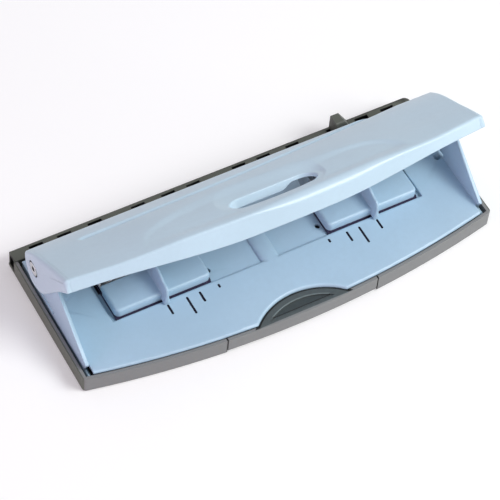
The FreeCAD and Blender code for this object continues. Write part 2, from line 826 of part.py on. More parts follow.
def pin_clip(x):
    ring = rod_z(clip_radius, clip_z, clip_z + clip_thick, x, pin_y)
    bore = rod_z(groove_floor_radius + shaft_clear, clip_z - 1, clip_z + clip_thick + 1, x, pin_y)
    mouth = box(x - clip_mouth / 2, x + clip_mouth / 2, pin_y, pin_y + clip_radius + 1, clip_z - 1,
                clip_z + clip_thick + 1)
    return cut(ring, [bore, mouth])


def pin_spring(x):
    """A coil whose wire has eight flats and the area of the round wire."""
    low = guide_top + spring_wire / 2 + shaft_clear
    high = clip_z - spring_wire / 2 - shaft_clear
    helix = Part.makeHelix((high - low) / spring_turns, high - low, spring_radius)
    corner = spring_wire / 2 * math.sqrt(math.pi / (spring_flats * math.sin(math.tau / spring_flats) / 2))
    section = []
    for flat in range(spring_flats + 1):
        angle = math.tau * (flat + 0.5) / spring_flats
        section.append(Vector(spring_radius + corner * math.cos(angle), 0, corner * math.sin(angle)))
    coil = Part.Wire(helix).makePipeShell([Part.makePolygon(section)], True, True)
    coil.translate(Vector(x, pin_y, low))
    return coil


def crown_cylinder(inset):
    """The crowned top of the handle, in the handle's frame, set in by a wall."""
    centre = Vector(-base_length, -crown_place, crown_up - crown_radius)
    return Part.makeCylinder(crown_radius - inset, 2 * base_length, centre, Vector(1, 0, 0))


def crown_at(along, inset):
    """Height of the crown, or of a surface set in under it, at a distance from the pivot."""
    return crown_up - crown_radius + math.sqrt((crown_radius - inset) ** 2 - (crown_place - along) ** 2)


def handle_bow_cylinder(inset):
    """The bowed front of the handle, in the handle's frame, set in by a wall."""
    reach = 2 * handle_below
    return rod_z(handle_bow_radius - inset, -reach, reach, 0, handle_bow_radius - handle_middle)


def place_handle(shape):
    """Turn a shape from the handle's frame to its raised place."""
    placed = shape.copy()
    placed.Placement = Placement(Vector(0, pivot_y, pivot_z), Rotation(Vector(1, 0, 0), -rest_tilt))
    return placed


def skirt_cutter():
    """What lies under the lower edge of the front skirt, which dips in the middle."""
    half = [(share * half_length, up) for share, up in skirt_edge]
    whole = [(-x, up) for x, up in reversed(half[1:])] + half
    y0 = -handle_middle - end_plate
    y1 = 3 * end_plate - handle_end
    points = [Vector(x, y0, up) for x, up in whole]
    curve = Part.BSplineCurve()
    curve.interpolate(points)
    reach = half[-1][0]
    low = -handle_below - 1
    loop = [points[-1], Vector(reach, y0, low), Vector(-reach, y0, low), points[0]]
    wire = Part.Wire([curve.toShape()] + Part.makePolygon(loop).Edges)
    return Part.Face(wire).extrude(Vector(0, y1 - y0, 0))


def end_plate_outline(x):
    """Side view of a handle end: a lobe round the pivot and a rising lower edge to the front."""
    front = -handle_end - skirt_thick
    high = crown_up + 1
    lobe = [Vector(x, handle_rear, rear_edge_up)] + [Vector(x, back, up) for back, up in end_lobe]
    edges = [Part.Arc(*lobe[start:start + 3]).toShape() for start in (0, 2, 4)]
    corners = [lobe[-1], Vector(x, end_knee[0], end_knee[1]), Vector(x, front, end_front_up),
               Vector(x, front, high), Vector(x, handle_rear, high), lobe[0]]
    return Part.Face(Part.Wire(edges + Part.makePolygon(corners).Edges))


def handle_block():
    """The handle as a full body, with its outer edges rounded."""
    body = box(-half_length, half_length, -handle_middle - 1, handle_rear, -handle_below, crown_up + 1)
    body = body.common(handle_bow_cylinder(0)).common(crown_cylinder(0))
    body = round_edges(body, top_round, lambda p: p.z > rear_edge_up - 0.5 and p.y < handle_rear - 1)
    return round_edges(body, rear_round, lambda p: near(p.z, rear_edge_up) and near(p.y, handle_rear))


def handle_shell():
    body = handle_block()
    beyond = half_length + 1
    low = -handle_below - 1
    inner = box(-beyond, beyond, -handle_middle, handle_rear - handle_wall, low, crown_up + 1)
    inner = inner.common(handle_bow_cylinder(skirt_thick)).common(crown_cylinder(handle_wall))
    shell = body.cut(inner).cut(skirt_cutter())
    shell = shell.cut(box(-beyond, beyond, 0, handle_rear + 1, low, rear_lip_up))
    parts = [shell] + handle_ends(body) + bar_ribs()
    frame = box(scoop_left - scoop_rim, scoop_right + scoop_rim, -window_front - scoop_rim,
                -scoop_rear + scoop_rim, scoop_pad, crown_up)
    parts.append(frame.common(crown_cylinder(handle_wall / 2)).common(handle_bow_cylinder(skirt_thick / 2)))
    return place_handle(cut(fuse(parts), handle_cuts()))


def handle_ends(body):
    plates = []
    for side in (-1, 1):
        x0, x1 = outwards(plate_inner, half_length, side)
        plate = end_plate_outline(x0).extrude(Vector(x1 - x0, 0, 0))
        lobe = plate.common(box(x0, x1, handle_rear - 1, 2 * handle_rear, -handle_below,
                                rear_edge_up - rear_round))
        plates.append(plate.common(body).fuse(lobe))
    return plates


def bar_ribs():
    """Saddles under the roof that hold the pressure bar."""
    ribs = []
    y0 = -bar_along - bar_radius - rib_reach
    y1 = -bar_along + bar_radius + rib_reach
    for x in rib_places:
        rib = box(x - rib_thick / 2, x + rib_thick / 2, y0, y1, rib_up, crown_up)
        ribs.append(rib.common(crown_cylinder(handle_wall / 2)))
    return ribs


def bar_up_end():
    """Top of the pressure bar, just under the roof at its lower side."""
    return crown_at(bar_along - bar_radius, handle_wall) - bar_top_gap


def handle_cuts():
    half = bar_radius + shaft_clear
    end = bar_half_length + end_gap
    cuts = [box(-end, end, -bar_along - half, -bar_along + half, -handle_below,
                bar_up_end() + shaft_clear)]
    for side in (-1, 1):
        x0, x1 = outwards(plate_inner - 1, half_length + 1, side)
        cuts.append(rod_x(bush_radius + shaft_clear, x0, x1, 0, 0))
        x0, x1 = outwards(half_length - screw_head - 2 * shaft_clear, half_length + 1, side)
        cuts.append(rod_x(screw_head_radius + head_pocket_clear, x0, x1, 0, 0))
    return cuts + [window_slot(), scoop(), long_groove()]


def window_slot():
    """The see-through slot with rounded ends."""
    half = (window_front - window_rear) / 2
    y = -(window_front + window_rear) / 2
    high = crown_up + 2
    x0 = window_left + half
    x1 = window_right - half
    straight = box(x0, x1, y - half, y + half, 0, high)
    return fuse([straight, rod_z(half, 0, high, x0, y), rod_z(half, 0, high, x1, y)])


def scoop():
    """A ramp that sinks from the roof towards the slot and runs round its right end."""
    high = crown_up + 3
    floor = crown_at(window_rear, 0) - scoop_depth
    ramp = prism_x([(-window_front, high), (-window_front, floor), (-window_rear, floor),
                    (-scoop_rear, crown_at(scoop_rear, 0)), (-scoop_rear, high)], scoop_left, scoop_right)
    plan = box(scoop_left, scoop_right, -window_front, -scoop_rear, 0, high)
    middle = (scoop_left + scoop_right) / 2
    half = (scoop_right - scoop_left) / 2
    at_corner = [lambda p: near(p.y, -scoop_rear) and near(abs(p.x - middle), half),
                 lambda p: near(p.y, -window_front) and near(abs(p.x - middle), half)]
    plan = round_edges(plan, scoop_corner, at_corner[0])
    plan = round_edges(plan, scoop_front_corner, at_corner[1])
    return ramp.common(plan)


def long_groove():
    """A shallow styling groove that starts round on the left and runs out at the rear edge."""
    start = Vector(groove_start[0], -groove_start[1], crown_at(groove_start[1], 0) + groove_lift)
    end = Vector(groove_end_x, handle_rear, crown_at(-handle_rear, 0) + groove_lift)
    run = end - start
    stroke = Part.makeCylinder(groove_radius, run.Length, start, run)
    return fuse([stroke, Part.makeSphere(groove_radius, start)])


def pressure_bar():
    """A tall steel bar with a round lower edge that bears on the pins."""
    y0 = -bar_along - bar_radius
    y1 = -bar_along + bar_radius
    upright = box(-bar_half_length, bar_half_length, y0, y1, 0, bar_up_end())
    round_edge = rod_x(bar_radius, -bar_half_length, bar_half_length, -bar_along, 0)
    return place_handle(fuse([upright, round_edge]))


def pivot_screw(side):
    outer = half_length - shaft_clear
    x0, x1 = outwards(outer - screw_head, outer, side)
    head = rod_x(screw_head_radius, x0, x1, pivot_y, pivot_z)
    x0, x1 = outwards(cheek_inner - pivot_boss_length + 1, outer - screw_head / 2, side)
    shank = rod_x(screw_radius, x0, x1, pivot_y, pivot_z)
    corners = []
    for turn in range(6):
        angle = math.radians(60 * turn)
        y = pivot_y + socket_radius * math.cos(angle)
        z = pivot_z + socket_radius * math.sin(angle)
        corners.append((y, z))
    x0, x1 = outwards(half_length - socket_depth, half_length + 1, side)
    return fuse([head, shank]).cut(prism_x(corners, x0, x1))


def pivot_bush(side):
    inner = housing_half + flange_gap
    x0, x1 = outwards(inner, plate_inner - flange_gap, side)
    flange = rod_x(bush_flange_radius, x0, x1, pivot_y, pivot_z)
    x0, x1 = outwards(inner, half_length - screw_head - 3 * shaft_clear, side)
    sleeve = rod_x(bush_radius, x0, x1, pivot_y, pivot_z)
    x0, x1 = outwards(inner - 1, half_length, side)
    return fuse([flange, sleeve]).cut(rod_x(screw_radius + shaft_clear, x0, x1, pivot_y, pivot_z))


def pivot_insert(side):
    inner = cheek_inner - pivot_boss_length
    x0, x1 = outwards(inner, cheek_inner - shaft_clear, side)
    tube = rod_x(insert_radius, x0, x1, pivot_y, pivot_z)
    return tube.cut(rod_x(screw_radius + shaft_clear, x0 - 1, x1 + 1, pivot_y, pivot_z))


def build_pieces():
    pieces = {
        "bottom_tray": bottom_tray(),
        "rubber_feet": rubber_feet(),
        "base_screws": base_screws(),
        "table_screws": table_screws(),
        "paper_rail": paper_rail(),
        "rail_screws": rail_screws(),
        "paper_stop": paper_stop(),
        "top_housing": top_housing(),
        "chip_door": chip_door(),
        "guide_bar": guide_bar(),
        "handle_shell": handle_shell(),
        "pressure_bar": pressure_bar(),
    }
    for side, name in ((-1, "left"), (1, "right")):
        pieces["pivot_screw_" + name] = pivot_screw(side)
        pieces["pivot_bush_" + name] = pivot_bush(side)
        pieces["pivot_insert_" + name] = pivot_insert(side)
        pieces["block_cover_" + name] = block_cover(side)
        pieces["die_plate_" + name] = die_plate(side)
        pieces["throat_stop_" + name] = throat_stop(side)
        pieces["guide_plate_" + name] = guide_plate(side)
        pieces["pin_bracket_" + name] = pin_bracket(side)
        pieces["frame_rivets_" + name] = frame_rivets(side)
        pieces["detent_leaf_" + name] = detent_leaf(side)
        for number, x in enumerate(pin_places(side), 1):
            pieces["punch_pin_%s_%d" % (name, number)] = punch_pin(x)
            pieces["pin_clip_%s_%d" % (name, number)] = pin_clip(x)
            pieces["pin_spring_%s_%d" % (name, number)] = pin_spring(x)
    return pieces


def main():
    os.makedirs("parts", exist_ok=True)
    for name, shape in build_pieces().items():
        shape.exportStep("parts/%s.step" % name)
        print(name, len(shape.Solids), shape.isValid(), round(shape.Volume, 1))
    print("pin row", round(pin_y, 3), "stroke", round(pin_stroke, 4), "pin", pin_tip, round(pin_top, 3))
    print("top plate", round(top_plate_z, 3), "block", round(block_front_y, 3), round(die_rear_y, 3))


main()
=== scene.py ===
import json
import math

import bmesh
import bpy
import numpy as np
from bpy.props import FloatProperty, FloatVectorProperty, PointerProperty
from mathutils import Matrix, Vector
from types import SimpleNamespace


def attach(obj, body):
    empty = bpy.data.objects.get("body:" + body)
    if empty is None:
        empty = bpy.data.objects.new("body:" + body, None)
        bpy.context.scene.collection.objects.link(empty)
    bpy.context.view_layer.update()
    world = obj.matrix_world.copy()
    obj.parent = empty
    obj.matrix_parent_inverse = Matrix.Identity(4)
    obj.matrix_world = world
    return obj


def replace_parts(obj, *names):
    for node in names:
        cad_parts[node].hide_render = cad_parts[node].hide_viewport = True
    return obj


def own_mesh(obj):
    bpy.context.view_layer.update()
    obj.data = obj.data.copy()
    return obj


bl_info = {
    "name": "Six-hole punch",
    "version": (1, 0, 0),
    "blender": (4, 5, 0),
    "location": "View3D > Sidebar > Punch",
    "description": "Dresses the packed model of a six-hole punch and sets its stage",
    "category": "Object",
}

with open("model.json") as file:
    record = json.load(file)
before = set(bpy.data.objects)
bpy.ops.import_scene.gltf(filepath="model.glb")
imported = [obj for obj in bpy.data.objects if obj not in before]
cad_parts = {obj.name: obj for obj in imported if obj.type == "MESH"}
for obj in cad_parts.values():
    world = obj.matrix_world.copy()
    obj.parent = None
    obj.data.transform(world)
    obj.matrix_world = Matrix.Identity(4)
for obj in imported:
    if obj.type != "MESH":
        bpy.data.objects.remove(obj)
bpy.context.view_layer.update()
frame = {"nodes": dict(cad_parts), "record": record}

SIDES = {"left": -1, "right": 1}


def colour(name, text, value):
    """A colour that a user can change, linear red, green and blue."""
    return FloatVectorProperty(name=name, description=text, subtype="COLOR", size=3, min=0, max=1, default=value)


def length(name, text, value):
    """A length that a user can change, in metres."""
    return FloatProperty(name=name, description=text, unit="LENGTH", precision=5, default=value)


class PunchColours(bpy.types.PropertyGroup):
    """Colours of the moulded and metal pieces."""

    shell_blue: colour("Shell blue", "Housing and block covers", (0.425, 0.59, 0.725))
    handle_blue: colour("Handle blue", "Handle shell", (0.52, 0.675, 0.78))
    tray_grey: colour("Tray grey", "Bottom tray and chip door", (0.22, 0.225, 0.225))
    rail_grey: colour("Rail grey", "Paper rail and stop", (0.078, 0.086, 0.07))
    dish_grey: colour("Ring grey", "Ring round the finger pad's dish", (0.066, 0.082, 0.084))
    pad_grey: colour("Pad grey", "Dished part of the finger pad", (0.036, 0.047, 0.05))
    throat_black: colour("Throat black", "Spacers in the throats", (0.02, 0.02, 0.022))
    blued_steel: colour("Blued steel", "Die plates", (0.08, 0.07, 0.12))
    ink: colour("Ink", "Printed marks on the table", (0.012, 0.011, 0.022))
    rubber: colour("Rubber", "Feet", (0.025, 0.025, 0.025))
    nylon: colour("Nylon", "Pivot bushes", (0.75, 0.73, 0.68))
    zinc: colour("Zinc", "Screws", (0.5, 0.51, 0.53))
    steel: colour("Steel", "Plates, bars and brackets", (0.5, 0.5, 0.52))
    ground_steel: colour("Ground steel", "Pins and rivets", (0.6, 0.6, 0.62))
    spring_steel: colour("Spring steel", "Springs, clips and leaves", (0.33, 0.33, 0.35))
    brass: colour("Brass", "Pivot inserts", (0.66, 0.46, 0.2))


class PunchHandle(bpy.types.PropertyGroup):
    """Sizes of the handle. Along is measured from the pivot towards the front, up from the handle's plane."""

    pivot_y: length("Pivot Y", "Pivot line, along Y", 0.0178)
    pivot_z: length("Pivot Z", "Height of the pivot line", 0.0296)
    tilt: FloatProperty(name="Tilt", description="Raised angle at rest", subtype="ANGLE", default=math.radians(34.2))
    half_length: length("Half length", "From the middle to an end", 0.1048)
    rear: length("Rear", "Rear edge behind the pivot", 0.00588)
    middle: length("Middle", "Front edge in the middle", 0.0503)
    end: length("End", "Front edge at the ends", 0.0411)
    crown_place: length("Crown place", "Highest line of the roof, along", 0.02306)
    crown_up: length("Crown up", "Height of the roof", 0.0097)
    rear_up: length("Rear up", "Height of the roof's rear edge", 0.007)
    lip_up: length("Lip up", "Lower edge of the rear lip", 0.0036)
    wall: length("Wall", "Thickness of the roof", 0.0022)
    skirt: length("Skirt", "Thickness of the front skirt", 0.002)
    skirt_middle: length("Skirt in the middle", "Height of its lower edge", -0.0029)
    skirt_end: length("Skirt at the ends", "Height of its lower edge", 0.0007)
    plate: length("End plate", "Thickness of an end", 0.0025)
    crisp: length("Crisp edge", "Rounding at the ends of the front edge", 0.0009)
    soft: length("Soft edge", "Rounding in the middle of the front edge", 0.0036)
    lens_drop: length("Lens drop", "How far the middle of the roof is dished", 0.001)
    end_fall: length("End fall", "How far the roof falls to the front at the ends", 0.0017)
    groove_depth: length("Groove depth", "Depth of the long groove", 0.0017)
    groove_width: length("Groove width", "Half width of the long groove", 0.0024)
    window_left: length("Window left", "Left end of the slot", -0.0213)
    window_right: length("Window right", "Right end of the slot", 0.022)
    window_rear: length("Window rear", "Rear edge of the slot", 0.0284)
    window_front: length("Window front", "Front edge of the slot", 0.0413)
    window_bow: length("Window bow", "How far its front edge comes back at its ends", 0.001)
    scoop_depth: length("Scoop depth", "Depth of the scoop behind the slot", 0.0014)
    rim_up: length("Rim up", "Lower edge of the rim round the slot", 0.0028)
    rim_rise: length("Rim rise", "How much higher it is at the right", 0.0024)
    rim_wide: length("Rim", "Thickness of the rim round the slot", 0.0015)
    hole: length("Hole", "Radius of the pivot hole", 0.00295)
    pocket: length("Pocket", "Radius of the screw's pocket", 0.0041)
    pocket_depth: length("Pocket depth", "Depth of the screw's pocket", 0.0013)


class PunchMarks(bpy.types.PropertyGroup):
    """Sizes of the printed marks on the table."""

    first_line: length("First line", "Where the marks start, along Y", -0.0136)
    width: length("Width", "Width of a mark", 0.0011)
    ink_height: length("Ink height", "How far the ink stands above the table", 0.00003)
    places: FloatVectorProperty(
        name="Places", description="Distance of each mark from the middle", size=4, unit="LENGTH",
        default=(0.054, 0.0445, 0.038, 0.0285))
    lengths: FloatVectorProperty(
        name="Lengths", description="Length of each mark, in the same order", size=4, unit="LENGTH",
        default=(0.0058, 0.01, 0.006, 0.0022))


class PunchStage(bpy.types.PropertyGroup):
    """Light, floor and camera."""

    key_power: FloatProperty(name="Key power", description="Large lamp at the front right", default=15.6, min=0)
    fill_power: FloatProperty(name="Fill power", description="Lamp above the rear", default=0.9, min=0)
    front_power: FloatProperty(name="Front power", description="Low lamp before the front edge", default=1.9, min=0)
    side_power: FloatProperty(name="Side power", description="Low lilac lamp at the left", default=3.6, min=0)
    sky_strength: FloatProperty(name="Sky strength", description="Even light from all round", default=0.42, min=0)
    floor_lift: FloatProperty(name="Floor lift", description="Added to the floor that the camera sees", default=0.235)
    floor_size: length("Floor size", "Side of the floor", 12.0)
    lens: FloatProperty(name="Lens", description="Focal length for a 36 mm sensor", default=176.4)


def node(tree, kind, inputs=None, **settings):
    """One shader node, with its settings, and its inputs given as values or as sockets to link."""
    made = tree.nodes.new("ShaderNode" + kind)
    for key, value in settings.items():
        setattr(made, key, value)
    for key, value in (inputs or {}).items():
        if isinstance(value, bpy.types.NodeSocket):
            tree.links.new(value, made.inputs[key])
        else:
            made.inputs[key].default_value = value
    return made


def noise(tree, place, size, detail=2.0, rough=0.5):
    """Noise whose features are about `size` metres across."""
    made = node(tree, "TexNoise", {"Vector": place, "Scale": 1.0 / size, "Detail": detail, "Roughness": rough})
    return made.outputs["Fac"]


def drawn(tree, place, scale, detail=2.0, turn=(0.0, 0.0, 0.0)):
    """Noise drawn out along the axes whose scale is small."""
    lines = node(tree, "Mapping", {"Vector": place, "Rotation": turn, "Scale": scale}).outputs["Vector"]
    return node(tree, "TexNoise", {"Vector": lines, "Scale": 1.0, "Detail": detail}).outputs["Fac"]


def combine(tree, operation, first, second):
    """One sum with two values, given as numbers or as sockets."""
    return node(tree, "Math", {0: first, 1: second}, operation=operation).outputs["Value"]


def spread(tree, value, low, high, to_low, to_high):
    """Carries a value from one range to another, held inside it."""
    made = node(tree, "MapRange", {"Value": value, "From Min": low, "From Max": high, "To Min": to_low,
                                   "To Max": to_high})
    return made.outputs["Result"]


def mix(tree, share, first, second):
    """Mixes two colours, given as three numbers or as sockets."""
    made = node(tree, "Mix", data_type="RGBA")
    for index, value in ((0, share), (6, first), (7, second)):
        if isinstance(value, bpy.types.NodeSocket):
            tree.links.new(value, made.inputs[index])
        elif index == 0:
            made.inputs[index].default_value = value
        else:
            made.inputs[index].default_value = (*value, 1.0)
    return made.outputs[2]


def shade(base, factor):
    """A lighter or darker copy of a colour."""
    return [min(1.0, part * factor) for part in base]


def start(name):
    """A new empty material and the place that its patterns read."""
    material = bpy.data.materials.new(name)
    material.use_nodes = True
    tree = material.node_tree
    tree.nodes.clear()
    place = node(tree, "TexCoord").outputs["Object"]
    return material, tree, place


def close(material, tree, tint, rough, height, strength, distance, normal=None, more=None):
    """Ends a material with its height as bump, its shader and its output, and returns it."""
    bump = {"Strength": strength, "Distance": distance, "Height": height}
    if normal is not None:
        bump["Normal"] = normal
    bumped = node(tree, "Bump", bump).outputs["Normal"]
    shader = node(tree, "BsdfPrincipled", {"Base Color": tint, "Roughness": rough, "Normal": bumped, **(more or {})})
    node(tree, "OutputMaterial", {"Surface": shader.outputs["BSDF"]})
    return material


def edges(tree, radius):
    """Softened normals, and a mask that is 1 on edges: it grows where the softened normal leaves the true one."""
    soft = node(tree, "Bevel", {"Radius": radius}, samples=4).outputs["Normal"]
    true = node(tree, "NewGeometry").outputs["Normal"]
    turn = node(tree, "VectorMath", {0: soft, 1: true}, operation="DOT_PRODUCT").outputs["Value"]
    return soft, spread(tree, turn, 0.78, 0.985, 1.0, 0.0)


def boxed(tree, place, low, high):
    """A mask that is 1 between two corners of a box and 0 outside."""
    middle = [(a + b) / 2 for a, b in zip(low, high)]
    away = node(tree, "VectorMath", {0: place, 1: middle}, operation="SUBTRACT").outputs["Vector"]
    away = node(tree, "VectorMath", {0: away}, operation="ABSOLUTE").outputs["Vector"]
    parts = node(tree, "SeparateXYZ", {"Vector": away}).outputs
    share = 1.0
    for axis, a, b in zip("XYZ", low, high):
        share = both(tree, combine(tree, "LESS_THAN", parts[axis], (b - a) / 2), share)
    return share


def around(tree, place, axes, centre, radius, soft=0.00008):
    """A mask that is 1 within a radius of a line: the line runs along the axis whose entry in `axes` is 0."""
    flat = node(tree, "VectorMath", {0: place, 1: axes}, operation="MULTIPLY").outputs["Vector"]
    away = node(tree, "VectorMath", {0: flat, 1: centre}, operation="DISTANCE").outputs["Value"]
    return spread(tree, away, radius - soft, radius + soft, 1.0, 0.0)


def both(tree, first, second):
    """Where two masks overlap: their product."""
    return combine(tree, "MULTIPLY", first, second)


def painted(corners, paint, side=1):
    """A patch of one colour: what lies in a box, or in its mirror image where the side is -1."""
    low, high = np.sort(np.array(corners) * (side, 1, 1), axis=0).tolist()
    return lambda tree, place: (boxed(tree, place, low, high), paint)


def moulded(name, base, roughness, grain, depth, round_off=0.0004, patches=()):
    """Moulded plastic: slow and fine tint, a spark-eroded grain, rubbed edges, faint scuffs in the gloss. Each of the
    patches is a function that gives a mask and the colour painted there: the pad's own ring and dish, or painted
    shade and painted highlight."""
    material, tree, place = start(name)
    soft, edge = edges(tree, round_off)
    slow = noise(tree, place, 0.045, 3.0)
    fine = noise(tree, place, grain * 3.0, 4.0, 0.6)
    tint = mix(tree, spread(tree, slow, 0.3, 0.7, 0.0, 1.0), shade(base, 0.965), shade(base, 1.03))
    tint = mix(tree, spread(tree, fine, 0.35, 0.7, 0.0, 0.35), tint, shade(base, 0.92))
    worn = both(tree, edge, spread(tree, noise(tree, place, 0.003, 4.0), 0.35, 0.65, 0.1, 0.8))
    tint = mix(tree, worn, tint, [min(1.0, part * 1.12 + 0.012) for part in base])
    for patch in patches:
        share, paint = patch(tree, place)
        paint = mix(tree, spread(tree, fine, 0.3, 0.7, 0.0, 1.0), shade(paint, 0.9), shade(paint, 1.1))
        tint = mix(tree, share, tint, paint)
    scuffs = drawn(tree, place, (90.0, 1400.0, 1400.0), 1.0, (0.1, 0.2, 0.5))
    rough = combine(tree, "ADD", spread(tree, slow, 0.3, 0.7, roughness - 0.015, roughness + 0.015),
                    spread(tree, scuffs, 0.66, 0.78, 0.0, 0.03))
    return close(material, tree, tint, rough, noise(tree, place, grain, 2.0, 0.7), 0.6, depth, soft, {"IOR": 1.5})


def metal(name, base, roughness, grain, depth=0.000004, tarnish=0.12, patches=()):
    """Bare metal: drawn or ground lines along the smallest scale of `grain`, slow tarnish and bright edges."""
    material, tree, place = start(name)
    soft, edge = edges(tree, 0.00015)
    streak = drawn(tree, place, grain, 3.0)
    stain = noise(tree, place, 0.006, 5.0, 0.65)
    tint = mix(tree, spread(tree, streak, 0.3, 0.7, 0.0, 1.0), shade(base, 0.86), shade(base, 1.1))
    tint = mix(tree, spread(tree, stain, 0.5, 0.75, 0.0, tarnish * 4), tint, shade(base, 0.7))
    tint = mix(tree, edge, tint, shade(base, 1.3))
    for patch in patches:
        share, paint = patch(tree, place)
        tint = mix(tree, share, tint, paint)
    rough = combine(tree, "ADD", spread(tree, streak, 0.3, 0.7, roughness - 0.06, roughness + 0.06),
                    spread(tree, stain, 0.45, 0.8, 0.0, tarnish))
    return close(material, tree, tint, rough, streak, 0.5, depth, soft, {"Metallic": 1.0})


def soft_rubber(name, base):
    """Rubber: dull, with a pitted surface and dust in its pits."""
    material, tree, place = start(name)
    pits = noise(tree, place, 0.0005, 3.0, 0.7)
    dust = spread(tree, noise(tree, place, 0.0025, 4.0), 0.5, 0.72, 0.0, 0.5)
    tint = mix(tree, dust, base, [part * 1.5 + 0.03 for part in base])
    return close(material, tree, tint, spread(tree, pits, 0.3, 0.7, 0.72, 0.9), pits, 0.7, 0.00005)


def printed_ink(name, base):
    """Pad-printed ink: dense in the middle, thinner in small patches, slightly raised and dull."""
    material, tree, place = start(name)
    patch = noise(tree, place, 0.0004, 3.0, 0.6)
    tint = mix(tree, spread(tree, patch, 0.55, 0.8, 0.0, 0.35), base, [part + 0.02 for part in base])
    rough = spread(tree, patch, 0.3, 0.7, 0.6, 0.8)
    return close(material, tree, tint, rough, patch, 0.4, 0.00001, more={"Specular IOR Level": 0.15})


def cloudy_nylon(name, base):
    """Nylon: milky, with a little light inside it and fine turning lines."""
    material, tree, place = start(name)
    cloud = noise(tree, place, 0.002, 3.0)
    tint = mix(tree, spread(tree, cloud, 0.35, 0.7, 0.0, 1.0), shade(base, 0.9), shade(base, 1.05))
    turned = drawn(tree, place, (4000.0, 300.0, 300.0))
    rough = spread(tree, turned, 0.3, 0.7, 0.38, 0.55)
    return close(material, tree, tint, rough, turned, 0.4, 0.00001,
                 more={"Subsurface Weight": 0.15, "Subsurface Scale": 0.001})


def bored(tree, place, radius, reach):
    """A mask for the wall of a hole round the pivot line, up to a distance from the middle."""
    h = bpy.context.scene.punch_handle
    near = around(tree, place, (0, 1, 1), (0, h.pivot_y, h.pivot_z), radius)
    return both(tree, near, boxed(tree, place, (-reach, -1, -1), (reach, 1, 1)))


def dress(names, material):
    """Gives CAD nodes a material in their own slots."""
    for name in names:
        piece = frame["nodes"][name]
        if not piece.material_slots:
            piece.data.materials.append(None)
        for slot in piece.material_slots:
            slot.link = "OBJECT"
            slot.material = material


def in_mm(group):
    """The values of a group, with its lengths in millimetres."""
    values = {}
    for key in group.__annotations__:
        value = np.array(getattr(group, key))
        values[key] = value * (1000.0 if group.bl_rna.properties[key].unit == "LENGTH" else 1.0)
    return SimpleNamespace(**values)


def ease(value, low, high):
    """0 up to low, 1 from high, and 3t^2 - 2t^3 between them."""
    t = np.clip((value - low) / (high - low), 0.0, 1.0)
    return t * t * (3.0 - 2.0 * t)


def between(first, last, count):
    """Evenly spaced values from first to last along a new last axis."""
    share = np.linspace(0.0, 1.0, count)
    return np.asarray(first)[..., None] * (1 - share) + np.asarray(last)[..., None] * share


def net(points, close_rows=False, close_columns=False, holes=()):
    """The points of a grid and the faces between them. A hole leaves out the faces between two rows and columns."""
    rows, columns = points.shape[:2]
    i, j = np.meshgrid(np.arange(rows if close_rows else rows - 1),
                       np.arange(columns if close_columns else columns - 1), indexing="ij")
    keep = np.ones(i.shape, bool)
    for row_0, row_1, column_0, column_1 in holes:
        keep[row_0:row_1, column_0:column_1] = False
    i, j = i[keep], j[keep]
    k, l = (i + 1) % rows, (j + 1) % columns
    faces = np.stack([i * columns + j, k * columns + j, k * columns + l, i * columns + l], -1)
    return points.reshape(-1, 3), faces


def stacked(rows):
    """A grid from rows that are given as places (points, 2) and a height for the row or for each point."""
    return np.stack([np.concatenate([spot, (0 * spot[:, 0] + up)[:, None]], 1) for spot, up in rows])


def quarter(count, first=0.0):
    """Steps round a quarter circle, as 1 - cos and 1 - sin of each angle."""
    turn = np.linspace(first, math.pi / 2, count)
    return list(zip(1 - np.cos(turn), 1 - np.sin(turn)))


def circle(count, first=0.0):
    """Evenly spaced points on a unit circle."""
    turn = np.linspace(0.0, 2 * math.pi, count + 1)[:-1] + first
    return np.stack([np.cos(turn), np.sin(turn)], -1)


def edit(mesh, change):
    """Changes a mesh by a function that gets it as a bmesh."""
    work = bmesh.new()
    work.from_mesh(mesh)
    change(work)
    work.to_mesh(mesh)
    work.free()


def placed(name, data):
    """A new object in the scene."""
    made = bpy.data.objects.new(name, data)
    bpy.context.scene.collection.objects.link(made)
    return made


def plain_mesh(name, nets):
    """A closed mesh from nets in millimetres, doubles merged and faces turned outwards."""
    def clean(work):
        bmesh.ops.remove_doubles(work, verts=work.verts, dist=2e-6)
        bmesh.ops.dissolve_degenerate(work, edges=work.edges, dist=1e-6)
        bmesh.ops.holes_fill(work, edges=[edge for edge in work.edges if edge.is_boundary], sides=0)
        bmesh.ops.recalc_face_normals(work, faces=work.faces)

    firsts = np.cumsum([0] + [len(points) for points, faces in nets])
    mesh = bpy.data.meshes.new(name)
    mesh.from_pydata(np.concatenate([points for points, faces in nets]) * 0.001, [],
                     np.concatenate([faces + first for (points, faces), first in zip(nets, firsts)]))
    edit(mesh, clean)
    return mesh


def surface(name, nets, material, body):
    """One object from several nets in millimetres."""
    mesh = plain_mesh(name, nets)
    mesh.shade_smooth()
    mesh.set_sharp_from_angle(angle=math.radians(38))
    mesh.materials.append(material)
    piece = placed(name, mesh)
    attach(piece, body)
    return piece


def merged_copy(node_name, name, material):
    """A copy of a CAD node with its loose triangles merged."""
    mesh = frame["nodes"][node_name].data.copy()
    mesh.name = name
    edit(mesh, lambda work: bmesh.ops.remove_doubles(work, verts=work.verts, dist=1e-7))
    mesh.materials.clear()
    mesh.materials.append(material)
    return placed(name, mesh)


def reshape(piece, move):
    """Changes the places of a piece's vertices, one row each, by a function that writes into the rows."""
    spots = np.empty(len(piece.data.vertices) * 3)
    piece.data.vertices.foreach_get("co", spots)
    move(spots.reshape(-1, 3))
    piece.data.vertices.foreach_set("co", spots)


def flatten(piece):
    """Joins a piece's triangles to whole flat faces."""
    edit(piece.data, lambda work: bmesh.ops.dissolve_limit(work, angle_limit=math.radians(2.0), verts=work.verts,
                                                           edges=work.edges))


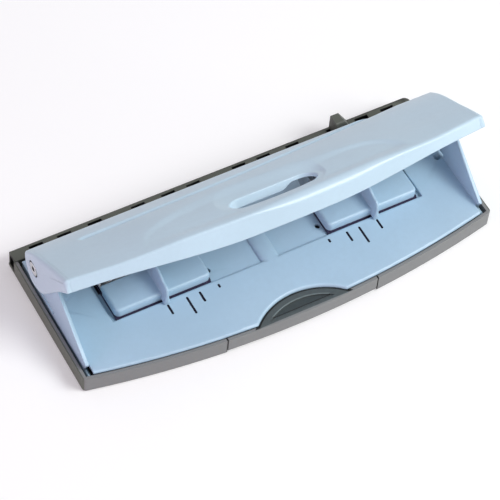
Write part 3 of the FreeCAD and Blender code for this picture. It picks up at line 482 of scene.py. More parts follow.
def cut_from(piece, cutter):
    """Cuts a closed net out of a piece, for good."""
    tool = placed("cutter", plain_mesh("cutter", [cutter]))
    step = piece.modifiers.new("cut", "BOOLEAN")
    step.operation = "DIFFERENCE"
    step.solver = "EXACT"
    step.object = tool
    bpy.context.view_layer.update()
    done = bpy.data.meshes.new_from_object(piece.evaluated_get(bpy.context.evaluated_depsgraph_get()))
    piece.modifiers.clear()
    piece.data = done
    bpy.data.objects.remove(tool)
    if not len(done.polygons):
        raise RuntimeError("a cut left nothing of " + piece.name)


def finish_copy(piece, node_name, body, angle=38.0):
    """Smooth shading up to an angle with large faces kept flat, and the copy put in its node's place."""
    piece.data.shade_smooth()
    piece.data.set_sharp_from_angle(angle=math.radians(angle))
    even = piece.modifiers.new("even", "WEIGHTED_NORMAL")
    even.keep_sharp = True
    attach(piece, body)
    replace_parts(piece, node_name)


def resample(outline, count):
    """A closed outline (points, 2) with evenly spaced points, by length along it."""
    loop = np.concatenate([outline, outline[:1]])
    along = np.concatenate([[0.0], np.cumsum(np.linalg.norm(np.diff(loop, axis=0), axis=1))])
    place = np.linspace(0.0, along[-1], count + 1)[:-1]
    return np.stack([np.interp(place, along, loop[:, axis]) for axis in (0, 1)], -1)


def inwards(outline, reach):
    """Unit normals into an evenly spaced closed outline that runs with its inside on the left. They are averaged
    with a bell curve over `reach` along the outline, so that an offset doesn't fold at a tight corner."""
    along = np.roll(outline, -1, 0) - np.roll(outline, 1, 0)
    normal = np.stack([-along[:, 1], along[:, 0]], -1)
    normal /= np.maximum(np.linalg.norm(normal, axis=1, keepdims=True), 1e-9)
    count = len(outline)
    gap = np.minimum(np.arange(count), count - np.arange(count)) * np.linalg.norm(outline[1] - outline[0])
    bell = np.exp(-(gap / reach) ** 2)
    return np.real(np.fft.ifft(np.fft.fft(normal, axis=0) * np.fft.fft(bell / bell.sum())[:, None], axis=0))


def smooth(points, count):
    """A curve through points: in each span a cubic whose ends lean along the neighbours on both sides."""
    lean = np.gradient(points, axis=0)
    place = np.linspace(0.0, len(points) - 1.0, count)
    span = np.minimum(place.astype(int), len(points) - 2)
    t = (place - span)[:, None]
    first, last = points[span], points[span + 1]
    return ((2 * t ** 3 - 3 * t ** 2 + 1) * first + (t ** 3 - 2 * t ** 2 + t) * lean[span]
            + (3 * t ** 2 - 2 * t ** 3) * last + (t ** 3 - t ** 2) * lean[span + 1])


def arc(first, middle, last, count):
    """Points on the circle through three points, from the first to the last."""
    a, b, c = (complex(*point) for point in (first, middle, last))
    w = (c - a) / (b - a)
    centre = a + (b - a) * (w - abs(w) ** 2) / (2j * w.imag)
    turns = np.unwrap(np.angle([a - centre, b - centre, c - centre]))
    angle = np.linspace(turns[0], turns[2], count)
    radius = abs(a - centre)
    return np.stack([centre.real + radius * np.cos(angle), centre.imag + radius * np.sin(angle)], -1)


def bend(before, corner, after, reach, count):
    """A quadratic curve that rounds a corner, from `reach` before it to `reach` after it."""
    before, corner, after = (np.array(point, float) for point in (before, corner, after))
    first = corner + (before - corner) / np.linalg.norm(before - corner) * reach
    last = corner + (after - corner) / np.linalg.norm(after - corner) * reach
    t = np.linspace(0.0, 1.0, count)[:, None]
    return (1 - t) ** 2 * first + 2 * t * (1 - t) * corner + t ** 2 * last


class PUNCH_OT_tray(bpy.types.Operator):
    """Dress the bottom tray, the rail, the stop and the chip door"""

    bl_idname = "punch.tray"
    bl_label = "Tray, rail and door"

    # Colours, then boxes by two corners, then lengths in metres. Both colours are painted shade: the first is
    # near-black painted into the rail's slots, under the rail, beside the chip door, round the pad's rim and along
    # the dish's front, and the second paints the tray's end faces darker.
    UNLIT = (0.003, 0.003, 0.003)
    END_SHADE = (0.1, 0.112, 0.088)
    RAIL_INSIDE = ((-0.11, 0.03878, 0.0), (0.11, 0.04242, 0.00995))
    UNDER_RAIL = ((-0.1045, 0.0385, 0.0002), (0.1045, 0.0427, 0.0095))
    GAP_FACE = ((0.0381, -0.05, 0.0005), (0.0389, -0.037, 0.01))
    END_FACE = ((0.1043, -0.1, -0.1), (0.106, 0.1, 0.1))
    PAD_TOP = ((-0.05, -0.0425, 0.0083), (0.05, -0.03, 0.01))
    PAD_CENTRE = (0.0, -0.06538, 0.0)
    GAP_RADIUS, RING_RADIUS, RIDGE_OUTSIDE, RIDGE_INSIDE, DISH_RADIUS = 0.034, 0.0323, 0.02995, 0.0294, 0.0296
    RIDGE = ((-0.0155, -0.0395, 0.0092), (0.0155, -0.03, 0.01))
    DISH = ((-0.05, -0.0396, 0.0083), (0.05, -0.03, 0.0093))
    # A thin near-black line along the dish's front, painted on the flat top: painted shadow.
    DISH_FRONT_SHADOW = ((-0.0145, -0.0399, 0.008), (0.0145, -0.0395, 0.01))
    SLOTS_MIDDLE, SLOTS_HALF, SLOTS_LOW, SLOTS_FAR, SLOTS_BACK = 0.0403, 0.00155, 0.0089, 0.1, 0.0006
    STOP_TOP, STOP_ROUND = 0.0187, 0.0014
    GRAIN_DEPTH = 0.00003

    def execute(self, context):
        colours = context.scene.punch_colours
        # Painted shade: near-black on the tray under the rail and on its faces beside the chip door, where the gaps
        # are.
        dark = [painted(self.UNDER_RAIL, self.UNLIT)]
        dark += [painted(self.GAP_FACE, self.UNLIT, side) for side in SIDES.values()]
        # The tray's end faces are painted darker: painted shade.
        dark += [painted(self.END_FACE, self.END_SHADE, side) for side in SIDES.values()]
        dress(["bottom_tray"], moulded("tray_moulding", colours.tray_grey, roughness=0.5, grain=0.0007,
                                       depth=self.GRAIN_DEPTH, patches=dark))
        # The inside of the rail's slots is painted near-black: painted shade.
        skin = moulded("rail_moulding", colours.rail_grey, roughness=0.52, grain=0.0006, depth=self.GRAIN_DEPTH,
                       patches=[painted(self.RAIL_INSIDE, self.UNLIT)])
        rail = merged_copy("paper_rail", "rail_skin", skin)
        reshape(rail, self.slots_back)
        finish_copy(rail, "paper_rail", "base")
        # On the pad, its outer rim and a line along the dish's front are painted shade, and its ridge is a painted
        # highlight; the ring and dish are its own colours.
        top = [self.gap, self.ring, self.dish, self.ridge, painted(self.DISH_FRONT_SHADOW, self.UNLIT)]
        dress(["chip_door"], moulded("door_moulding", colours.tray_grey, roughness=0.46, grain=0.0006,
                                     depth=self.GRAIN_DEPTH, patches=top))
        skin = moulded("stop_moulding", colours.rail_grey, roughness=0.48, grain=0.0006, depth=self.GRAIN_DEPTH)
        stop = merged_copy("paper_stop", "stop_round", skin)
        reshape(stop, self.lower_top)
        flatten(stop)
        bevel = stop.modifiers.new("round", "BEVEL")
        bevel.width, bevel.segments = self.STOP_ROUND, 5
        bevel.limit_method, bevel.angle_limit = "ANGLE", math.radians(30)
        finish_copy(stop, "paper_stop", "paper_stop")
        return {"FINISHED"}

    def slots_back(self, spots):
        """Moves the corners of the slots in the rail's top to the rear."""
        near = (np.abs(spots[:, 1] - self.SLOTS_MIDDLE) < self.SLOTS_HALF) & (spots[:, 2] > self.SLOTS_LOW)
        spots[near & (np.abs(spots[:, 0]) < self.SLOTS_FAR), 1] += self.SLOTS_BACK

    def lower_top(self, spots):
        """Holds the stop's height to its real top."""
        spots[:, 2] = np.minimum(spots[:, 2], self.STOP_TOP)

    def round_pad(self, tree, place, radius, corners=PAD_TOP):
        """What lies in a box and within a radius of the middle of the bay's circle."""
        return both(tree, around(tree, place, (1, 1, 0), self.PAD_CENTRE, radius), boxed(tree, place, *corners))

    def gap(self, tree, place):
        """The pad's outermost rim, painted near-black as the gap's shadow: painted shade."""
        return self.round_pad(tree, place, self.GAP_RADIUS), self.UNLIT

    def ring(self, tree, place):
        """The pad's raised ring."""
        return self.round_pad(tree, place, self.RING_RADIUS), bpy.context.scene.punch_colours.dish_grey

    def ridge(self, tree, place):
        """The pad's thin ridge round the dish, painted pale along its crest: a painted highlight."""
        outside = combine(tree, "SUBTRACT", 1.0, self.round_pad(tree, place, self.RIDGE_INSIDE))
        share = both(tree, self.round_pad(tree, place, self.RIDGE_OUTSIDE, self.RIDGE), outside)
        return share, shade(bpy.context.scene.punch_colours.dish_grey, 2.4)

    def dish(self, tree, place):
        """The pad's dished middle."""
        share = self.round_pad(tree, place, self.DISH_RADIUS, self.DISH)
        return share, bpy.context.scene.punch_colours.pad_grey


class PunchTable(bpy.types.PropertyGroup):
    """Places on the table that are given a soft edge."""

    top: length("Top", "Height of the table's top", 0.0107)
    inner: length("Inner end", "Inner end of a recess, from the middle", 0.0045)
    outer: length("Outer end", "Outer end of a recess, from the middle", 0.08)
    front: length("Front", "Front edge of the recesses", -0.011005)
    rear: length("Rear", "Rear edge of the recesses", 0.014995)
    soft: length("Soft end", "Height of the rounding at a recess's inner end", 0.0018)
    wide: length("Wide end", "Width of the rounding at a recess's inner end", 0.0036)
    crisp: length("Crisp edge", "Rounding of a recess's other edges", 0.0006)
    bay_radius: length("Bay radius", "Radius of the finger pad's bay", 0.03338)
    bay_centre: length("Bay centre", "Middle of the bay's circle, along Y", -0.06538)
    bay_round: length("Bay rounding", "Rounding of the bay's edge", 0.0013)


class PUNCH_OT_housing(bpy.types.Operator):
    """Soften the edges of the recesses and of the pad's bay on a copy of the housing, and dress it"""

    bl_idname = "punch.housing"
    bl_label = "Housing"

    # Millimetres, and radians for the angle.
    CORNER = 0.4
    FIRST_ANGLE, INSIDE, BELOW, ABOVE = 0.12, 0.2, 0.55, 1.0

    def execute(self, context):
        t = in_mm(context.scene.punch_table)
        skin = moulded("housing_moulding", context.scene.punch_colours.shell_blue, roughness=0.36, grain=0.0008,
                       depth=0.000012, round_off=0.0006)
        housing = merged_copy("top_housing", "housing_skin", skin)
        for cutter in (self.recess(t, 1), self.recess(t, -1), self.bay(t)):
            cut_from(housing, cutter)
        finish_copy(housing, "top_housing", "base")
        return {"FINISHED"}

    def flare(self, t, outline, outwards, wide, deep, middle):
        """A plug that widens upwards by a quarter of an ellipse: at the angle a it is wide * (1 - cos a) outside the
        outline, at the height top - deep * (1 - sin a). It begins a little inside, so that its foot doesn't lie in
        the recess's wall, and poles close it below and above."""
        foot, lid = 0 * outline + middle, outline + outwards * wide[:, None]
        rows = [(foot, t.top - self.BELOW),
                (outline - outwards * self.INSIDE, t.top - deep * (1 - math.sin(self.FIRST_ANGLE)))]
        rows += [(outline + outwards * (wide * across)[:, None], t.top - deep * down)
                 for across, down in quarter(12, self.FIRST_ANGLE)]
        rows += [(lid, t.top + self.ABOVE), (foot, t.top + self.ABOVE)]
        return net(stacked(rows), close_columns=True)

    def recess(self, t, side):
        """The flare over a recess: a rectangle with rounded corners, softest towards the middle of the table."""
        half = np.array([(t.outer - t.inner) / 2, (t.rear - t.front) / 2])
        middle = np.array([(t.outer + t.inner) / 2, (t.rear + t.front) / 2])
        outwards = circle(96, math.pi / 96)
        outline = middle + np.sign(outwards) * (half - self.CORNER) + outwards * self.CORNER
        inner = 0.4 * ease(-outwards[:, 0], -0.05, 0.05) + 0.6 * ease(-outwards[:, 0], 0.2, 0.98)
        deep = t.crisp + (t.soft - t.crisp) * inner
        points, faces = self.flare(t, outline, outwards, t.crisp + (t.wide - t.crisp) * inner, deep, middle)
        return points * (side, 1.0, 1.0), faces

    def bay(self, t):
        """The flare over the pad's bay: a circle."""
        outwards = circle(240)
        middle = np.array([0.0, t.bay_centre])
        round_off = 0 * outwards[:, 0] + t.bay_round
        return self.flare(t, middle + outwards * t.bay_radius, outwards, round_off, round_off, middle)


class PUNCH_OT_handle(bpy.types.Operator):
    """Build the handle shell and dress its pressure bar"""

    bl_idname = "punch.handle"
    bl_label = "Handle"

    # How many columns each stretch of the skin has, and how many rows lie left of the block, in it and right of it.
    LIP, TURN, REAR, BLOCK, EDGE, SKIRT = 5, 9, 76, 34, 4, 12
    ROWS = (72, 75, 68)
    # Millimetres in the handle's own frame.
    RIBS = ((4.4, 6.35), (11.45, 13.4))
    SOFT_FROM, SOFT_UP_TO = (-22.0, 8.0), (28.0, 66.0)
    SKIRT_RISE = (20.0, 92.0)
    FALL_OUT, FALL_AHEAD = (42.0, 84.0), (-2.0, 26.0)
    LENS_LEFT, LENS_RIGHT = (-72.0, -44.0), (58.0, 71.0)
    GROOVE_START, GROOVE_RUN, GROOVE_FADE = -84.0, 170.0, 3.0
    GROOVE_REAR, GROOVE_SLANT, GROOVE_BOW = 8.6, -16.0, 5.7
    SCOOP_FRONT, SCOOP_REAR, SCOOP_RIGHT, SCOOP_LEFT, SCOOP_FLAT = 1.6, 11.0, 1.8, 5.0, 2.4
    BLOCK_LEFT, BLOCK_RIGHT, BLOCK_REAR, BLOCK_GAP = -36.0, 38.0, 14.0, 1.5
    REAR_ROUND_INSIDE, REAR_ROUND, LEAST_ROUND, DROP = 0.4, 0.6, 0.4, 0.5
    SLOT_LIP, SLOT_FOOT, RIM_STEP = 0.5, 0.3, (6.5, 12.5)
    END_INSET, END_SOFTENING, POCKET_EDGE = 0.1, 2.2, 0.3
    END_LOBE = ((-5.88, 7.0), (-8.3, 2.9), (-9.06, -2.3), (-7.9, -7.9), (-3.4, -10.9), (1.0, -11.7), (5.2, -11.1))
    END_KNEE = (29.5, -2.0)
    LENS_REAR = ((-72.0, 58.0), (-66.0, 42.0), (-59.0, 29.0), (-35.0, 19.6), (-14.6, 16.1), (8.7, 18.8), (30.7, 22.3),
                 (42.6, 24.3), (53.9, 27.3), (61.7, 35.0), (67.5, 46.0), (72.0, 58.0))
    RIB_PLACES = (-88.0, -46.0, 0.0, 46.0, 88.0)
    # The painted shade in the screws' pockets, how far outside their radius it begins and how far from the middle it
    # ends.
    POCKET_DARK, POCKET_MARGIN, POCKET_END = (0.03, 0.02, 0.035), 0.00012, 0.1044

    def execute(self, context):
        colours = context.scene.punch_colours
        h = in_mm(context.scene.punch_handle)
        skin = moulded("handle_moulding", colours.handle_blue, roughness=0.3, grain=0.0009, depth=0.000008,
                       round_off=0.0003, patches=[self.in_pocket])
        nets = self.shell(h) + [self.end_plate(h, side) for side in (1, -1)]
        nets += [self.rib(h, x, *ends) for x in self.RIB_PLACES for ends in self.RIBS]
        nets = [(self.raised(h, points), faces) for points, faces in nets]
        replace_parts(surface("handle_skin", nets, skin, "handle"), "handle_shell")
        drawn_bar = metal("drawn_bar", colours.steel, roughness=0.3, grain=(40.0, 2600.0, 2600.0))
        dress(["pressure_bar", "guide_bar"], drawn_bar)
        return {"FINISHED"}

    def in_pocket(self, tree, place):
        """The walls of the screws' pockets, painted nearly black: painted shade."""
        radius = bpy.context.scene.punch_handle.pocket + self.POCKET_MARGIN
        return bored(tree, place, radius, self.POCKET_END), self.POCKET_DARK

    def raised(self, h, points):
        """From the handle's own frame (x, along, up) to its raised place: a turn about the pivot line."""
        x, along, up = points.T
        y = h.pivot_y - along * np.cos(h.tilt) + up * np.sin(h.tilt)
        z = h.pivot_z + along * np.sin(h.tilt) + up * np.cos(h.tilt)
        return np.stack([x, y, z], -1)

    def crown(self, h, along):
        """A circle's arc over the handle's depth, highest at the crown's place."""
        rise = h.crown_up - h.rear_up
        radius = ((h.crown_place + h.rear) ** 2 + rise ** 2) / (2 * rise)
        return h.crown_up - radius + np.sqrt(radius ** 2 - (h.crown_place - along) ** 2)

    def front(self, h, x):
        """The bowed front edge: a circle's arc through the middle and both ends."""
        bow = h.middle - h.end
        radius = (h.half_length ** 2 + bow ** 2) / (2 * bow)
        return h.middle - radius + np.sqrt(radius ** 2 - x ** 2)

    def front_round(self, h, x):
        """Rounding between roof and skirt: crisp at the left, soft right of the middle, less so at the right end."""
        return h.crisp + (h.soft - h.crisp) * ease(x, *self.SOFT_FROM) * (1 - 0.8 * ease(x, *self.SOFT_UP_TO))

    def skirt_low(self, h, x):
        """Lower edge of the skirt, which dips in the middle."""
        return h.skirt_middle + (h.skirt_end - h.skirt_middle) * ease(np.abs(x), *self.SKIRT_RISE)

    def plain_roof(self, h, x, along):
        """The crown, less a fall towards the front at the ends, less a lens-shaped dish. The lens has a border at the
        rear, broad in the middle and crisper at its right end, and runs out before the front edge."""
        fall = h.end_fall * ease(np.abs(x), *self.FALL_OUT) * ease(along, *self.FALL_AHEAD)
        border = np.interp(x, *smooth(np.array(self.LENS_REAR), 200).T)
        edge = self.front(h, x)
        reach = 8.0 - 5.2 * ease(x, 22.0, 44.0) - 3.6 * ease(-x, 26.0, 50.0)
        inside = ease(along - border, -1.0, reach) * (1 - ease(along, edge - 9.0, edge - 2.2))
        inside = inside * ease(x, *self.LENS_LEFT) * (1 - ease(x, *self.LENS_RIGHT))
        return self.crown(h, along) - h.lens_drop * inside - fall

    def from_slot(self, h, x, along):
        """Distance from the slot's edge, and which way: across (0 beside its ends, 1 before and behind it)."""
        half = (h.window_front - h.window_rear) / 2
        beside = x - np.clip(x, h.window_left + half, h.window_right - half)
        ahead = along - (h.window_rear + half)
        far = np.sqrt(beside ** 2 + ahead ** 2)
        return far - half, beside, ahead, (ahead / np.maximum(far, 1e-6)) ** 2

    def roof(self, h, x, along):
        """The plain roof, less a groove along a slanting bowed line, and less a scoop round the slot: it has
        (1 - away / reach)^1.1 of its depth, wide behind the slot, narrow before it, with a crisp right end."""
        share = np.clip((x - self.GROOVE_START) / self.GROOVE_RUN, 0.0, 1.1)
        off = along - (self.GROOVE_REAR + self.GROOVE_SLANT * share + self.GROOVE_BOW * np.sin(math.pi * share))
        groove = ease(off, -h.groove_width, -0.4) * (1 - ease(off, 0.0, 0.8 * h.groove_width))
        groove = groove * ease(x, self.GROOVE_START, self.GROOVE_START + self.GROOVE_FADE)
        away, beside, ahead, across = self.from_slot(h, x, along)
        reach = np.where(ahead > 0, self.SCOOP_FRONT, self.SCOOP_REAR) * across
        reach = reach + np.where(beside > 0, self.SCOOP_RIGHT, self.SCOOP_LEFT) * (1 - across)
        flat = np.where(beside > 0, self.SCOOP_FLAT, 0.0) * (1 - across)
        scoop = (1 - np.clip((away - flat) / reach, 0.0, 1.0)) ** 1.1
        deep = h.scoop_depth * (1 - 0.8 * ease(along, h.window_rear, h.window_front))
        return self.plain_roof(h, x, along) - h.groove_depth * groove - deep * scoop

    def under_roof(self, h, x, along):
        """The plain roof less the wall."""
        return self.plain_roof(h, x, along) - h.wall

    def skin(self, h, x, inner):
        """Rows over the handle at each x: up the rear face, over the roof, round the front, down the skirt.
        The second result is where the roof's window block begins and ends among the columns."""
        wall, skirt = (h.wall, h.skirt) if inner else (0.0, 0.0)
        rear_round = self.REAR_ROUND_INSIDE if inner else self.REAR_ROUND
        height = self.under_roof if inner else self.roof
        flat, across, back = 0 * x, x[:, None], wall - h.rear
        edge = self.front(h, x)
        split = edge - self.front_round(h, x) - self.BLOCK_GAP
        front = (edge - skirt)[:, None]
        front_round = np.maximum(self.LEAST_ROUND, self.front_round(h, x) - skirt)[:, None]
        turn = np.linspace(0.0, math.pi / 2, self.TURN)[None, :]
        rear_u = back + rear_round * (1 - np.cos(turn)) + 0 * across
        rear_v = height(h, across, rear_u) - rear_round * (1 - np.sin(turn))
        over = [between(flat + back + rear_round, flat + self.BLOCK_REAR, self.REAR),
                between(flat + self.BLOCK_REAR, split, self.BLOCK),
                between(split, (front - front_round)[:, 0], self.EDGE)]
        front_u = front - front_round + front_round * np.sin(turn)
        front_v = height(h, across, front_u) - front_round * (1 - np.cos(turn))
        up_rear = between(flat + h.lip_up + self.DROP, rear_v[:, 0], self.LIP)
        down_front = between(front_v[:, -1], self.skirt_low(h, x) + self.DROP, self.SKIRT)
        stretches = [(0 * up_rear + back, up_rear), (rear_u, rear_v)]
        stretches += [(along, height(h, across, along)) for along in over]
        stretches += [(front_u, front_v), (0 * down_front + front, down_front)]
        along, up = (np.concatenate([part[i][:, :-1] for part in stretches] + [stretches[-1][i][:, -1:]], 1)
                     for i in (0, 1))
        first = self.LIP + self.TURN + self.REAR - 3
        return np.stack([across + 0 * along, along, up], -1), (first, first + self.BLOCK - 1)

    def rim(self, first, last):
        """A rounded edge from one row's end to another's: |cos| and |sin| to the power 0.6 give a full curve."""
        turn = np.linspace(0.0, math.pi, 10)[1:-1]
        side = np.sign(np.cos(turn)) * np.abs(np.cos(turn)) ** 0.6
        points = (first + last)[:, None] / 2 + (first - last)[:, None] / 2 * side[None, :, None]
        points[..., 2] -= self.DROP * np.sin(turn) ** 0.6
        return points

    def shell(self, h):
        """Roof, skirt and rear lip as one closed skin, with its two ends and the slot's walls."""
        inner_end = h.half_length - h.plate
        left, right = self.BLOCK_LEFT, self.BLOCK_RIGHT
        x = np.concatenate([np.linspace(-inner_end, left, self.ROWS[0])[:-1], np.linspace(left, right, self.ROWS[1]),
                            np.linspace(right, inner_end, self.ROWS[2])[1:]])
        outer, (j0, j1) = self.skin(h, x, False)
        inner = self.skin(h, x, True)[0]
        i0, i1 = np.searchsorted(x, (left - 1e-6, right - 1e-6))
        bottom = self.rim(outer[:, -1], inner[:, -1])
        loop = np.concatenate([outer, bottom, inner[:, ::-1], self.rim(inner[:, 0], outer[:, 0])], 1)
        columns, rims = outer.shape[1], bottom.shape[1]
        far = 2 * columns + rims - 1
        nets = [net(loop, close_columns=True, holes=[(i0, i1, j0, j1), (i0, i1, far - j1, far - j0)])]
        edge_loop = [(i, j0) for i in range(i0, i1)] + [(i1, j) for j in range(j0, j1)]
        edge_loop += [(i, j1) for i in range(i1, i0, -1)] + [(i0, j) for j in range(j1, j0, -1)]
        return nets + [self.window(h, outer[tuple(np.array(edge_loop).T)][:, :2])]

    def window(self, h, border):
        """The roof between a loop of its points and the slot, the slot's wall down to its rim's rounded foot, the
        rim's outside, and the roof's underside."""
        half = (h.window_front - h.window_rear) / 2
        middle = np.clip(border[:, 0], h.window_left + half, h.window_right - half)
        centre = np.stack([middle, 0 * middle + h.window_rear + half], -1)
        away = border - centre
        away /= np.linalg.norm(away, axis=1, keepdims=True)
        bow = h.window_bow * (np.abs(centre[:, 0]) / (h.window_right - half)) ** 2 * np.maximum(away[:, 1], 0.0)
        lip, foot = self.SLOT_LIP, self.SLOT_FOOT

        def ring(grow):
            return centre + away * (half + grow - bow)[:, None]

        rows = []
        for share in np.linspace(0.0, 1.0, 26) ** 0.7:
            spot = border * (1 - share) + ring(lip) * share
            rows.append((spot, self.roof(h, *spot.T)))
        for down, across in quarter(7)[1:]:
            spot = ring(lip * across)
            rows.append((spot, self.roof(h, *spot.T) - lip * down))
        edge = rows[-1][1]
        low = h.rim_up + foot + h.rim_rise * ease(border[:, 0], *self.RIM_STEP)
        rows += [(ring(0.0), edge * (1 - share) + low * share) for share in np.linspace(0.0, 1.0, 6)[1:]]
        rows += [(ring(h.rim_wide / 2 * (1 - math.cos(turn))), low - foot * math.sin(turn))
                 for turn in np.linspace(0.0, math.pi, 9)[1:]]
        outside = ring(h.rim_wide)
        under = self.under_roof(h, *outside.T)
        rows += [(outside, low * (1 - share) + under * share) for share in (0.5, 1.0)]
        for share in np.linspace(0.0, 1.0, 18)[1:]:
            spot = outside * (1 - share) + border * share
            rows.append((spot, self.under_roof(h, *spot.T)))
        return net(stacked(rows), close_columns=True)

    def end_plate(self, h, side):
        """An end: the handle's side view with a lobe round the pivot, a rounded rim, and a pocket for the screw.
        All of it is one grid round the outline, from the inner face over the rim to the outer face and back
        through the hole. The rim is a quarter circle whose inset follows the softened normals: it is 0.9, and up to
        1.3 more towards the roof and the front."""
        inner_x = h.half_length - h.plate
        top = self.skin(h, np.array([side * inner_x]), False)[0][0, self.LIP - 1:, 1:]
        front_low = top[-1] - (0.5, 0.5)
        low = [top[-1] - (0.0, 0.25), front_low, *bend(front_low, self.END_KNEE, self.END_LOBE[6], 5.0, 9)]
        lobe = [arc(*self.END_LOBE[last - 2:last + 1][::-1], 14)[:-1] for last in (6, 4, 2)]
        outline = resample(np.concatenate([top, low] + lobe)[::-1], 300)
        normal = inwards(outline, self.END_SOFTENING)
        angle = np.unwrap(np.arctan2(outline[:, 1], outline[:, 0]))
        even = angle[0] + np.sign(angle[-1] - angle[0]) * np.linspace(0.0, 2 * math.pi, len(angle), endpoint=False)
        angle = (angle + even) / 2
        ray = np.stack([np.cos(angle), np.sin(angle)], -1)
        rounding = 0.9 + 1.3 * ease(outline[:, 1], 2.0, 6.5) * (0.2 + 0.8 * ease(outline[:, 0], 0.0, 24.0))
        inner, crisp, outer_x = outline + normal * self.END_INSET, self.POCKET_EDGE, h.half_length
        rows = [(ray * h.hole * (1 - share) + inner * share, inner_x) for share in (0.0, 0.33, 0.67, 1.0)]
        rows += [(outline, inner_x + self.END_INSET)]
        rows += [(outline + normal * (rounding * across)[:, None], outer_x - rounding * down)
                 for across, down in quarter(9)]
        face = rows[-1][0]
        rows += [(face * (1 - share) + ray * (h.pocket + crisp) * share, outer_x) for share in (0.25, 0.5, 0.75, 1.0)]
        rows += [(ray * (h.pocket + crisp * (1 - math.sin(turn))), outer_x - crisp * (1 - math.cos(turn)))
                 for turn in (0.4, 0.8, 1.2, math.pi / 2)]
        rows += [(ray * radius, outer_x - h.pocket_depth) for radius in (h.pocket, h.hole)]
        return net(stacked(rows)[..., [2, 0, 1]] * (side, 1, 1), close_rows=True, close_columns=True)

    def rib(self, h, x, rear, front):
        """A saddle's leg beside the pressure bar: a squarish outline, cos and sin to the power 0.3, carried
        upwards into the roof from a rounded foot."""
        turn = circle(24)
        shape = np.sign(turn) * np.abs(turn) ** 0.3
        size = np.array([1.0, (front - rear) / 2])
        top = self.crown(h, rear) - 1.0
        levels = [(0.0, 0.3), (0.6, 0.3), (0.9, 0.45), (1.0, 0.8), (1.0, top - 0.2), (0.0, top)]
        rows = [(shape * size * share + (x, (rear + front) / 2), up) for share, up in levels]
        return net(stacked(rows), close_columns=True)


class PunchBlock(bpy.types.PropertyGroup):
    """Sizes of a block's cover and of its pointer fin."""

    middle: length("Middle", "Distance of the block from the middle", 0.054)
    half: length("Half length", "Half of the cover's length", 0.0237)
    front: length("Front", "Front face, along Y", -0.010005)
    rear: length("Rear", "Rear edge, along Y", 0.005595)
    throat: length("Throat", "Where the throat is open, from here to the rear", 0.003895)
    throat_up: length("Throat up", "Upper edge of the open throat", 0.0124)
    low: length("Low", "Lower edge", 0.0106)
    top: length("Top", "Upper face", 0.0152)
    wall: length("Wall", "Thickness of the walls", 0.0012)
    roof: length("Roof", "Thickness of the roof", 0.0013)
    corner: length("Corner", "Rounding of the front corners", 0.0024)
    edge: length("Edge", "Rounding of the upper edge", 0.0013)
    fin_reach: length("Fin reach", "How far the fin stands before the cover", 0.0038)
    fin_foot: length("Fin foot", "Width of the fin at its foot", 0.0034)
    fin_thin: length("Fin thin", "Width of the fin above", 0.0014)


